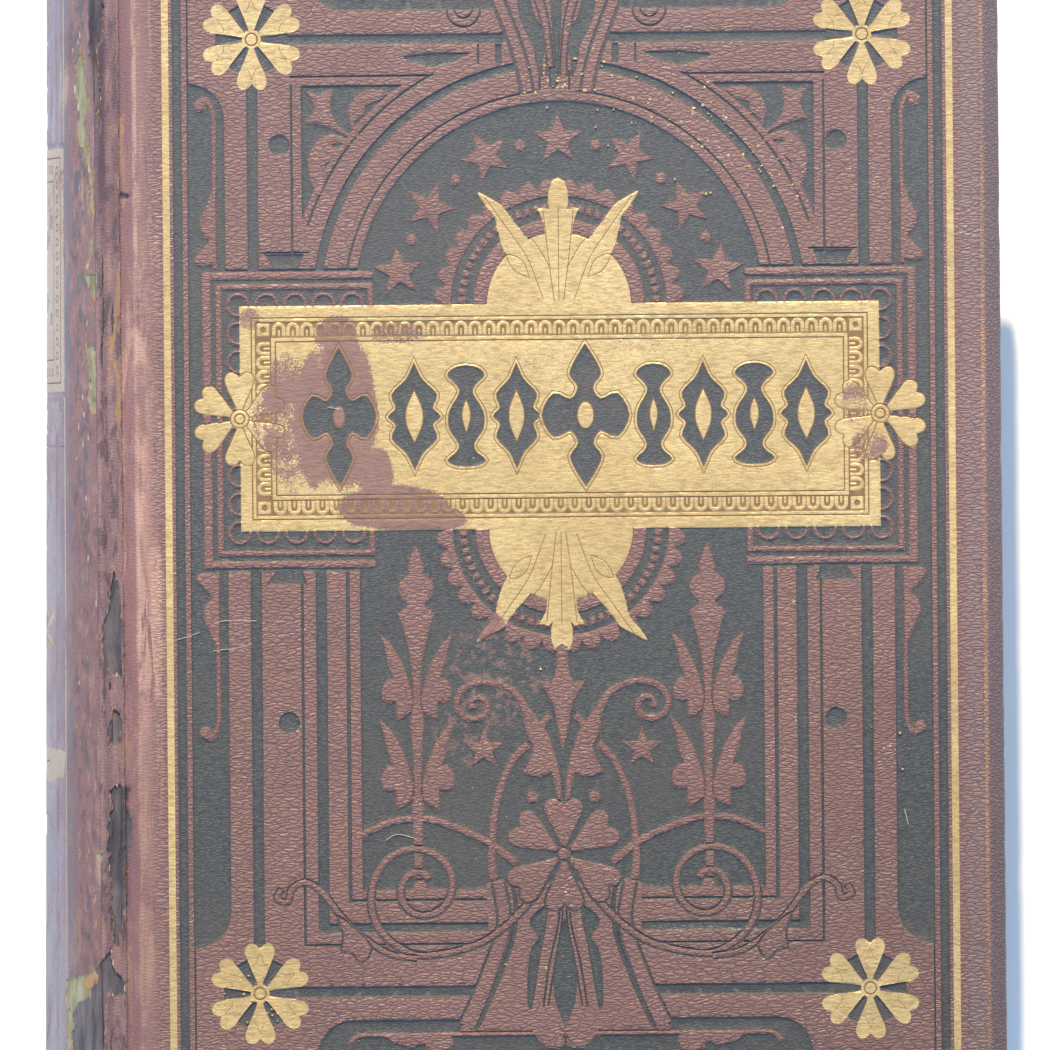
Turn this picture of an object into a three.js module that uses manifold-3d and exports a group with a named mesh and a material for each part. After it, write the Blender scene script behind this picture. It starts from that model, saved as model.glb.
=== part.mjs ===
// Large Victorian family Bible, closed, lying on its back cover.
// Millimetres. +Z up, +X towards the fore-edge, +Y towards the head, origin under the middle of the book.
import * as THREE from 'three';
import * as BufferGeometryUtils from 'three/addons/utils/BufferGeometryUtils.js';
import Module from 'manifold-3d';

const wasm = await Module();
wasm.setup();

// Overall
const BOOK_WIDTH = 247;
const BOOK_HEIGHT = 318;
const BOOK_THICK = 85;
const HALF_W = BOOK_WIDTH / 2;
const HALF_H = BOOK_HEIGHT / 2;
const MID_Z = BOOK_THICK / 2;

// Covers
const LEATHER = 0.9;
const BOARD = 5.0;
const TURN_IN = 0.5;
const TURN_IN_WIDTH = 18;
const PAPER = 0.3;
const GAP = 0.1;
const BEVEL_WIDTH = 4.8;
const BEVEL_DROP = 2.8;
const COVER_LEFT = -105;
const CORNER_R = 2.5;

// Text block
const PAGE_HALF_H = 153;
const PAGE_RIGHT = 117.5;
const PAGE_LEFT = -105.6;
const FORE_EDGE_HOLLOW = 6.5;
const GATHERINGS = 14;
const FOLD_ROUND = 1.1;

// Spine
const SPINE_HALF_SPAN = 40.3;
const SPINE_RISE = 13;
const SPINE_R = (SPINE_HALF_SPAN ** 2 + SPINE_RISE ** 2) / (2 * SPINE_RISE);
const SPINE_X = -HALF_W + SPINE_R;
const SPINE_LEATHER = 1.0;
const HOLLOW_CARD = 0.8;
const SPINE_LINING = 0.5;
const CORD = 1.5;
const CORD_WIDTH = 3.2;
const CORD_PLACES = [-112, -56, 0, 56, 112];
const KETTLE_PLACES = [-141, 141];
const FOLD_R = SPINE_R - 4.4;
const HEADBAND_R = 1.6;

// Heights of the stack, measured down from the outside of a cover
const BOARD_TOP = LEATHER + GAP;
const BOARD_UNDER = BOARD_TOP + BOARD;
const TURN_TOP = BOARD_UNDER + GAP;
const TURN_UNDER = TURN_TOP + TURN_IN;
const PASTE_TOP = TURN_UNDER + GAP;
const PASTE_UNDER = PASTE_TOP + PAPER;
const LEAF_STEP = PAPER + GAP;
const FRONT_LEAVES = ['front_flyleaf', 'frontispiece_leaf', 'title_leaf', 'family_record_leaf'];
const BLOCK_TOP = BOOK_THICK - PASTE_UNDER - GAP - FRONT_LEAVES.length * LEAF_STEP;
const BLOCK_UNDER = PASTE_UNDER + GAP + LEAF_STEP;

const group = new THREE.Group();
group.name = 'bible';

const LEATHER_LOOK = [0x6e403a, 0.72, 0.0];
const SPINE_LOOK = [0x66403c, 0.75, 0.0];
const BOARD_LOOK = [0x8f7f68, 0.95, 0.0];
const PAPER_LOOK = [0xe9dcc0, 0.95, 0.0];
const EDGE_LOOK = [0xcda866, 0.6, 0.1];
const ENDPAPER_LOOK = [0xd9c9a6, 0.95, 0.0];
const CLOTH_LOOK = [0xb9ab92, 0.95, 0.0];
const THREAD_LOOK = [0xd8cdb4, 0.9, 0.0];
const BAND_LOOK = [0x9a3c34, 0.85, 0.0];

function addNode(name, geometry, look) {
  const material = new THREE.MeshStandardMaterial({
    color: look[0],
    roughness: look[1],
    metalness: look[2],
  });
  const mesh = new THREE.Mesh(geometry, material);
  mesh.name = name;
  group.add(mesh);
}

function toSolid(geometry) {
  let clean = geometry.clone();
  clean.deleteAttribute('normal');
  clean.deleteAttribute('uv');
  clean = BufferGeometryUtils.mergeVertices(clean, 1e-5);
  const mesh = new wasm.Mesh({
    numProp: 3,
    vertProperties: new Float32Array(clean.attributes.position.array),
    triVerts: new Uint32Array(clean.index.array),
  });
  return new wasm.Manifold(mesh);
}

function toGeometry(solid) {
  const mesh = solid.getMesh();
  const geometry = new THREE.BufferGeometry();
  const count = mesh.vertProperties.length / mesh.numProp;
  const positions = new Float32Array(count * 3);
  for (let i = 0; i < count; i += 1) {
    for (let k = 0; k < 3; k += 1) {
      positions[i * 3 + k] = mesh.vertProperties[i * mesh.numProp + k];
    }
  }
  geometry.setAttribute('position', new THREE.BufferAttribute(positions, 3));
  geometry.setIndex(Array.from(mesh.triVerts));
  geometry.computeVertexNormals();
  return geometry;
}

// Ring of points round a rectangle with rounded corners, counter-clockwise seen from +Z.
function roundedRing(x0, x1, y0, y1, radius, z) {
  const corners = [
    [x1 - radius, y1 - radius, 0],
    [x0 + radius, y1 - radius, 90],
    [x0 + radius, y0 + radius, 180],
    [x1 - radius, y0 + radius, 270],
  ];
  const ring = [];
  for (const [cx, cy, start] of corners) {
    for (let i = 0; i <= 3; i += 1) {
      const a = THREE.MathUtils.degToRad(start + i * 30);
      ring.push([cx + radius * Math.cos(a), cy + radius * Math.sin(a), z]);
    }
  }
  return ring;
}

// Closed solid through a stack of rings with equal point counts, first ring lowest.
function loft(rings) {
  const n = rings[0].length;
  const points = rings.flat();
  const index = [];
  for (let r = 0; r + 1 < rings.length; r += 1) {
    for (let i = 0; i < n; i += 1) {
      const a = r * n + i;
      const b = r * n + ((i + 1) % n);
      index.push(a, b, b + n, a, b + n, a + n);
    }
  }
  const top = (rings.length - 1) * n;
  for (let i = 1; i + 1 < n; i += 1) {
    index.push(0, i + 1, i);
    index.push(top, top + i, top + i + 1);
  }
  const geometry = new THREE.BufferGeometry();
  geometry.setAttribute('position', new THREE.BufferAttribute(new Float32Array(points.flat()), 3));
  geometry.setIndex(index);
  geometry.computeVertexNormals();
  return geometry;
}

// Slab whose outer face is bevelled down on all four edges; depths are measured in from the outside.
function bevelledSlab(shrink, outer, inner) {
  const x0 = COVER_LEFT + shrink;
  const x1 = HALF_W - shrink;
  const y = HALF_H - shrink;
  const r = CORNER_R;
  const low = BOOK_THICK - inner;
  const edge = BOOK_THICK - outer - BEVEL_DROP;
  const high = BOOK_THICK - outer;
  const w = BEVEL_WIDTH;
  return loft([
    roundedRing(x0, x1, -y, y, r, low),
    roundedRing(x0, x1, -y, y, r, edge),
    roundedRing(x0 + w, x1 - w, -y + w, y - w, r, high),
  ]);
}

function slab(x0, x1, y0, y1, z0, z1) {
  const geometry = new THREE.BoxGeometry(x1 - x0, y1 - y0, z1 - z0);
  geometry.translate((x0 + x1) / 2, (y0 + y1) / 2, (z0 + z1) / 2);
  return geometry;
}

// Turns a front-cover shape over to the back cover.
function flipToBack(geometry) {
  const back = geometry.clone();
  back.scale(1, 1, -1);
  back.translate(0, 0, BOOK_THICK);
  const index = Array.from(back.index.array);
  for (let i = 0; i < index.length; i += 3) {
    [index[i], index[i + 1]] = [index[i + 1], index[i]];
  }
  back.setIndex(index);
  back.computeVertexNormals();
  return back;
}

// Profile in X and Z pushed along Y.
function pushAlongY(profile, y0, y1) {
  const shape = new THREE.Shape(profile.map(([x, z]) => new THREE.Vector2(x, -z)));
  const geometry = new THREE.ExtrudeGeometry(shape, { depth: y1 - y0, bevelEnabled: false });
  geometry.rotateX(-Math.PI / 2);
  geometry.scale(1, -1, 1);
  geometry.translate(0, y1, 0);
  const joined = BufferGeometryUtils.mergeVertices(stripped(geometry), 1e-5);
  const index = Array.from(joined.index.array);
  for (let i = 0; i < index.length; i += 3) {
    [index[i], index[i + 1]] = [index[i + 1], index[i]];
  }
  joined.setIndex(index);
  joined.computeVertexNormals();
  return outward(joined);
}

function stripped(geometry) {
  const plain = geometry.clone();
  plain.deleteAttribute('normal');
  plain.deleteAttribute('uv');
  return plain;
}

// Makes the faces point outward by the sign of the enclosed volume.
function outward(geometry) {
  const p = geometry.attributes.position;
  const index = Array.from(geometry.index.array);
  const a = new THREE.Vector3();
  const b = new THREE.Vector3();
  const c = new THREE.Vector3();
  let volume = 0;
  for (let i = 0; i < index.length; i += 3) {
    a.fromBufferAttribute(p, index[i]);
    b.fromBufferAttribute(p, index[i + 1]);
    c.fromBufferAttribute(p, index[i + 2]);
    volume += a.dot(b.cross(c));
  }
  if (volume < 0) {
    for (let i = 0; i < index.length; i += 3) {
      [index[i], index[i + 1]] = [index[i + 1], index[i]];
    }
    geometry.setIndex(index);
    geometry.computeVertexNormals();
  }
  return geometry;
}

function arcPoint(radius, z) {
  return [SPINE_X - Math.sqrt(radius ** 2 - (z - MID_Z) ** 2), z];
}

// Curved shell between two radii of the rounded spine, cut level at the given half height.
function spineShell(outerR, innerR, halfSpan, yHalf, steps, yMid = 0) {
  const outer = [];
  const inner = [];
  const share = halfSpan / outerR;
  const angle = Math.asin(share);
  for (let i = 0; i <= steps; i += 1) {
    const a = -angle + (2 * angle * i) / steps;
    outer.push([SPINE_X - outerR * Math.cos(a), MID_Z + outerR * Math.sin(a)]);
    inner.push([SPINE_X - innerR * Math.cos(a), MID_Z + innerR * Math.sin(a)]);
  }
  return pushAlongY([...outer, ...inner.reverse()], yMid - yHalf, yMid + yHalf);
}

// Cover pieces, built for the front and turned over for the back.
function coverLeather() {
  const skin = toSolid(bevelledSlab(0, 0, TURN_UNDER));
  const room = toSolid(bevelledSlab(LEATHER + GAP, LEATHER, TURN_TOP));
  const t = TURN_IN_WIDTH;
  const window = toSolid(slab(
    COVER_LEFT + 12, HALF_W - t, -HALF_H + t, HALF_H - t,
    BOOK_THICK - TURN_UNDER - 1, BOOK_THICK - TURN_TOP + 1,
  ));
  return toGeometry(skin.subtract(room).subtract(window));
}

function coverBoard() {
  return bevelledSlab(LEATHER + GAP * 2, LEATHER + GAP, BOARD_UNDER);
}

function pastedown() {
  const sheet = toSolid(slab(
    COVER_LEFT + 1.6, HALF_W - 4.5, -PAGE_HALF_H, PAGE_HALF_H,
    BOOK_THICK - PASTE_UNDER, BOOK_THICK - PASTE_TOP,
  ));
  const t = TURN_IN_WIDTH + 0.3;
  const infill = toSolid(slab(
    COVER_LEFT + 12.3, HALF_W - t, -HALF_H + t, HALF_H - t,
    BOOK_THICK - PASTE_TOP - 0.05, BOOK_THICK - TURN_TOP,
  ));
  return toGeometry(sheet.add(infill));
}

// Leather that bends at the outer joint, dipping into the groove beside the board.
function jointLeather() {
  const top = [
    [-110.43, 82.9], [-109.95, 83.2], [-109.3, 83.1], [-108.4, 82.3],
    [-107.4, 81.6], [-106.3, 81.6], [-105.15, 82.1],
  ];
  const under = [
    [-105.15, 81.2], [-106.2, 80.7], [-107.6, 80.7], [-108.85, 81.5],
    [-109.35, 82.2], [-109.6, 82.33],
  ];
  return pushAlongY([...top, ...under], -HALF_H + 1.5, HALF_H - 1.5);
}

function innerHinge() {
  const z = BOOK_THICK - PASTE_UNDER;
  return slab(-107.8, COVER_LEFT + 1.5, -PAGE_HALF_H + 1, PAGE_HALF_H - 1, z + 0.05, z + 0.25);
}

function leaf(place) {
  const top = BOOK_THICK - PASTE_UNDER - GAP - place * LEAF_STEP;
  return slab(PAGE_LEFT, PAGE_RIGHT, -PAGE_HALF_H + 0.5, PAGE_HALF_H - 0.5, top - PAPER, top);
}

// One sewn gathering: rounded fold at the spine, hollowed at the fore-edge.
function gathering(z0, z1) {
  const profile = [];
  for (let i = 0; i <= 4; i += 1) {
    const t = i / 4;
    const z = z0 + (z1 - z0) * t;
    const span = (z - MID_Z) / (MID_Z - BLOCK_UNDER);
    profile.push([PAGE_RIGHT - FORE_EDGE_HOLLOW * (1 - span ** 2), z]);
  }
  for (let i = 6; i >= 0; i -= 1) {
    const t = i / 6;
    const z = z0 + (z1 - z0) * t;
    const round = 1 - Math.sqrt(Math.max(0, 1 - (2 * t - 1) ** 2));
    profile.push([arcPoint(FOLD_R, z)[0] + FOLD_ROUND * round, z]);
  }
  return pushAlongY(profile, -PAGE_HALF_H, PAGE_HALF_H);
}

// Worked silk end band lying along the rounded end of the folds.
function endBand(side) {
  const rings = [];
  const sides = 8;
  const steps = 16;
  const r = HEADBAND_R;
  const angle = Math.asin(32.5 / (FOLD_R - 0.4));
  for (let i = 0; i <= steps; i += 1) {
    const a = -angle + (2 * angle * i) / steps;
    const ring = [];
    for (let k = 0; k < sides; k += 1) {
      const b = (2 * Math.PI * k) / sides;
      const radius = FOLD_R - 0.4 + r * Math.cos(b);
      ring.push([
        SPINE_X - radius * Math.cos(a),
        side * (PAGE_HALF_H + 0.15 + r) + r * Math.sin(b),
        MID_Z + radius * Math.sin(a),
      ]);
    }
    rings.push(ring);
  }
  return outward(loft(rings));
}

function buildCover(side, turn) {
  addNode(`${side}_cover_leather`, turn(coverLeather()), LEATHER_LOOK);
  addNode(`${side}_board`, turn(coverBoard()), BOARD_LOOK);
  addNode(`${side}_pastedown`, turn(pastedown()), ENDPAPER_LOOK);
  addNode(`${side}_joint_leather`, turn(jointLeather()), SPINE_LOOK);
  addNode(`${side}_inner_hinge`, turn(innerHinge()), CLOTH_LOOK);
}

function buildSpine() {
  const r1 = SPINE_R - SPINE_LEATHER;
  const r2 = r1 - GAP;
  const r3 = r2 - HOLLOW_CARD;
  const r4 = r3 - 0.2;
  const r5 = r4 - SPINE_LINING;
  const r6 = r5 - GAP;
  addNode('spine_leather', spineShell(SPINE_R, r1, SPINE_HALF_SPAN, HALF_H - 1.5, 24), SPINE_LOOK);
  addNode('spine_hollow_card', spineShell(r2, r3, 38.5, HALF_H - 4, 24), BOARD_LOOK);
  addNode('spine_lining', spineShell(r4, r5, 35.5, PAGE_HALF_H - 3, 24), CLOTH_LOOK);
  CORD_PLACES.forEach((y, i) => {
    const cord = spineShell(r6, r6 - CORD, 34, CORD_WIDTH / 2, 16, y);
    addNode(`sewing_cord_${i + 1}`, cord, THREAD_LOOK);
  });
  KETTLE_PLACES.forEach((y, i) => {
    const thread = spineShell(r6 - 0.5, r6 - CORD, 34, 0.5, 16, y);
    addNode(`kettle_stitch_${i + 1}`, thread, THREAD_LOOK);
  });
  addNode('headband', endBand(1), BAND_LOOK);
  addNode('tailband', endBand(-1), BAND_LOOK);
}

function buildTextBlock() {
  const thick = (BLOCK_TOP - BLOCK_UNDER) / GATHERINGS;
  for (let i = 0; i < GATHERINGS; i += 1) {
    const z0 = BLOCK_UNDER + i * thick + GAP / 2;
    const name = `gathering_${String(i + 1).padStart(2, '0')}`;
    addNode(name, gathering(z0, z0 + thick - GAP), EDGE_LOOK);
  }
  FRONT_LEAVES.forEach((name, i) => {
    addNode(name, leaf(i), PAPER_LOOK);
  });
  addNode('back_flyleaf', flipToBack(leaf(0)), PAPER_LOOK);
}

buildCover('front', (g) => g);
buildCover('back', (g) => flipToBack(g));
buildSpine();
buildTextBlock();

export default group;
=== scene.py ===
import math
import random

import bpy
import numpy as np
from mathutils import Matrix, Vector
from mathutils.geometry import delaunay_2d_cdt


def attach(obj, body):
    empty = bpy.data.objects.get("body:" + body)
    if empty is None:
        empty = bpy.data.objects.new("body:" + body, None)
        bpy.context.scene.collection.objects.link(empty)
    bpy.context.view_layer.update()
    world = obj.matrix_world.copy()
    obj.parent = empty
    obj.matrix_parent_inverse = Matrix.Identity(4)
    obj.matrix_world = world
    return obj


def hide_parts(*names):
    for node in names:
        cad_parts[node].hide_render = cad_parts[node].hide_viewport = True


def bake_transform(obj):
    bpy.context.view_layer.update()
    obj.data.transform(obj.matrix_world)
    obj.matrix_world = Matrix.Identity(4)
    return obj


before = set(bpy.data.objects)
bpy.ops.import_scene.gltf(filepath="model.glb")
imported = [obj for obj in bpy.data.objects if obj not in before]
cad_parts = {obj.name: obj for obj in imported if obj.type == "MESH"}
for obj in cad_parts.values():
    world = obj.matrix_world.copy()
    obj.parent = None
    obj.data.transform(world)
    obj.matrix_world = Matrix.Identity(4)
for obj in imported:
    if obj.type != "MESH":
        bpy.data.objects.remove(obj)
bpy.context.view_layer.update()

MM = 0.001
RNG = np.random.default_rng(1874)
random.seed(1874)

# ---------------------------------------------------------------- main sizes, in mm
THICK = 85.0
HALF_W = 123.5
HALF_H = 159.0
COVER_LEFT = -105.0
BEVEL = 4.8
DROP = 2.8
ART_X = 9.2            # middle of the blocked design across the cover
ART_HALF_U = 109.2
ART_HALF_V = 153.9
SPINE_RISE = 13.0
SPINE_SPAN = 40.3
SPINE_R = (SPINE_SPAN ** 2 + SPINE_RISE ** 2) / (2 * SPINE_RISE)
SPINE_X = -HALF_W + SPINE_R
MID_Z = THICK / 2
PAGE_HALF_H = 153.0


# ---------------------------------------------------------------- shader helpers
class Shade:
    """A Principled material built from nodes."""

    def __init__(self, name, metallic=0.0, specular=0.5):
        self.material = bpy.data.materials.new(name)
        self.material.use_nodes = True
        self.tree = self.material.node_tree
        self.tree.nodes.clear()
        self.out = self.tree.nodes.new("ShaderNodeOutputMaterial")
        self.bsdf = self.tree.nodes.new("ShaderNodeBsdfPrincipled")
        self.tree.links.new(self.bsdf.outputs[0], self.out.inputs[0])
        self.bsdf.inputs["Metallic"].default_value = metallic
        self.bsdf.inputs["Specular IOR Level"].default_value = specular
        coord = self.tree.nodes.new("ShaderNodeTexCoord")
        self.place = coord.outputs["Object"]
        split = self.tree.nodes.new("ShaderNodeSeparateXYZ")
        self.tree.links.new(self.place, split.inputs[0])
        self.x, self.y, self.z = split.outputs

    def put(self, socket, value):
        if isinstance(value, bpy.types.NodeSocket):
            self.tree.links.new(value, socket)
        elif isinstance(value, (tuple, list)) and len(value) == 3 and socket.type == "RGBA":
            socket.default_value = (*value, 1.0)
        else:
            socket.default_value = value

    def stretch(self, sx, sy, sz):
        node = self.tree.nodes.new("ShaderNodeMapping")
        node.inputs["Scale"].default_value = (sx, sy, sz)
        self.tree.links.new(self.place, node.inputs["Vector"])
        return node.outputs[0]

    def noise(self, scale, vector=None, detail=4.0, rough=0.55, distort=0.0, seed=0.0):
        node = self.tree.nodes.new("ShaderNodeTexNoise")
        node.noise_dimensions = "4D"
        self.tree.links.new(vector or self.place, node.inputs["Vector"])
        node.inputs["W"].default_value = seed
        node.inputs["Scale"].default_value = scale
        node.inputs["Detail"].default_value = detail
        node.inputs["Roughness"].default_value = rough
        node.inputs["Distortion"].default_value = distort
        return node.outputs["Fac"]

    def cells(self, scale, vector=None, feature="F1", rand=1.0):
        node = self.tree.nodes.new("ShaderNodeTexVoronoi")
        node.feature = feature
        self.tree.links.new(vector or self.place, node.inputs["Vector"])
        node.inputs["Scale"].default_value = scale
        node.inputs["Randomness"].default_value = rand
        return node.outputs["Distance"]

    def maths(self, op, a, b=None, c=None, clamp=False):
        node = self.tree.nodes.new("ShaderNodeMath")
        node.operation = op
        node.use_clamp = clamp
        for i, v in enumerate((a, b, c)):
            if v is not None:
                self.put(node.inputs[i], v)
        return node.outputs[0]

    def span(self, value, low, high, to_low=0.0, to_high=1.0, smooth=True):
        node = self.tree.nodes.new("ShaderNodeMapRange")
        node.interpolation_type = "SMOOTHSTEP" if smooth else "LINEAR"
        self.put(node.inputs["Value"], value)
        node.inputs["From Min"].default_value = low
        node.inputs["From Max"].default_value = high
        node.inputs["To Min"].default_value = to_low
        node.inputs["To Max"].default_value = to_high
        return node.outputs[0]

    def mix(self, factor, a, b, mode="MIX"):
        node = self.tree.nodes.new("ShaderNodeMix")
        node.data_type = "RGBA"
        node.blend_type = mode
        self.put(node.inputs[0], factor)
        self.put(node.inputs[6], a)
        self.put(node.inputs[7], b)
        return node.outputs[2]

    def bump(self, height, strength, distance, under=None):
        node = self.tree.nodes.new("ShaderNodeBump")
        self.put(node.inputs["Height"], height)
        node.inputs["Strength"].default_value = strength
        node.inputs["Distance"].default_value = distance
        if under is not None:
            self.tree.links.new(under, node.inputs["Normal"])
        return node.outputs[0]

    def finish(self, colour, rough, normal=None):
        self.put(self.bsdf.inputs["Base Color"], colour)
        self.put(self.bsdf.inputs["Roughness"], rough)
        if normal is not None:
            self.tree.links.new(normal, self.bsdf.inputs["Normal"])
        return self.material

    def blob(self, cx, cy, rx, ry, soft=0.5):
        """1 inside a soft ellipse in X and Y (mm), 0 outside."""
        dx = self.maths("DIVIDE", self.maths("SUBTRACT", self.x, cx * MM), rx * MM)
        dy = self.maths("DIVIDE", self.maths("SUBTRACT", self.y, cy * MM), ry * MM)
        d2 = self.maths("ADD", self.maths("MULTIPLY", dx, dx), self.maths("MULTIPLY", dy, dy))
        return self.span(d2, 1.0 - soft, 1.0 + soft, 1.0, 0.0)

    def strip(self, value, middle, half, soft):
        """1 within half of the middle (mm), fading over soft (mm)."""
        away = self.maths("ABSOLUTE", self.maths("SUBTRACT", value, middle * MM))
        return self.span(away, half * MM, (half + soft) * MM, 1.0, 0.0)


def creases(s, scale=1.0, long=0.36):
    """Leather grain: puffy cells lying along X, with thin creases between them. Returns dome, crease."""
    warp = s.tree.nodes.new("ShaderNodeTexNoise")
    s.tree.links.new(s.place, warp.inputs["Vector"])
    warp.inputs["Scale"].default_value = 420.0
    warp.inputs["Detail"].default_value = 2.0
    shift = s.tree.nodes.new("ShaderNodeVectorMath")
    shift.operation = "MULTIPLY_ADD"
    s.tree.links.new(warp.outputs["Color"], shift.inputs[0])
    shift.inputs[1].default_value = (0.0016, 0.0009, 0.0009)
    s.tree.links.new(s.place, shift.inputs[2])
    lie = s.tree.nodes.new("ShaderNodeMapping")
    lie.inputs["Scale"].default_value = (long, 1.15, 1.0)
    s.tree.links.new(shift.outputs[0], lie.inputs["Vector"])
    away = s.cells(1000 * scale, lie.outputs[0], "DISTANCE_TO_EDGE")
    dome = s.span(away, 0.0, 0.24)
    crease = s.span(away, 0.01, 0.085, 1.0, 0.0)
    return dome, crease


def tail_dark_head_glare(s, colour):
    """Darker towards the tail and the fore-edge; towards the head a painted haze of glare, pale and bluish."""
    low = s.span(s.y, 0.04, -0.14)
    right = s.span(s.x, -0.03, 0.11)
    dim = s.maths("ADD", s.maths("MULTIPLY", low, 0.16), s.maths("MULTIPLY", s.maths("MULTIPLY", low, right), 0.10))
    colour = s.mix(dim, colour, (0.0, 0.0, 0.0))
    # painted glare: towards the head the colour is mixed a little towards a pale bluish grey
    return s.mix(s.span(s.y, -0.08, 0.14, 0.0, 0.045), colour, (0.50, 0.50, 0.56))


def rubbed_back(s, colour, pale, streak, blotch):
    """The glancing edge of the spine: red showing in patches through the painted glare, and a blue-grey streak beside
    it.
    """
    red = s.maths("MULTIPLY", s.span(pale, 0.0, 0.3), s.span(blotch, 0.50, 0.58, 0.0, 0.60))
    colour = s.mix(red, colour, (0.29, 0.165, 0.175))
    cool = s.maths("MULTIPLY", s.strip(s.x, -118.3, 0.7, 0.9), s.span(streak, 0.40, 0.56, 0.85, 0.15))
    colour = s.mix(cool, colour, (0.125, 0.130, 0.165))
    clouds = s.noise(48, s.stretch(1.0, 0.7, 1.0), 4.0, 0.6, 0.4, 33.0)
    return s.mix(s.maths("MULTIPLY", s.span(s.x, -0.1150, -0.1180), s.span(clouds, 0.50, 0.62, 0.0, 0.50)), colour,
                 (0.215, 0.125, 0.140))


def specks(s, scale, low, seed):
    """Scattered small pale spots of paint and dust."""
    where = s.cells(scale, s.stretch(1.0, 0.8, 1.0))
    patch = s.noise(28, None, 3.0, 0.6, 0.0, seed)
    spot = s.span(where, low, low + 0.05, 1.0, 0.0)
    return s.maths("MULTIPLY", spot, s.span(patch, 0.58, 0.72))


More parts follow.
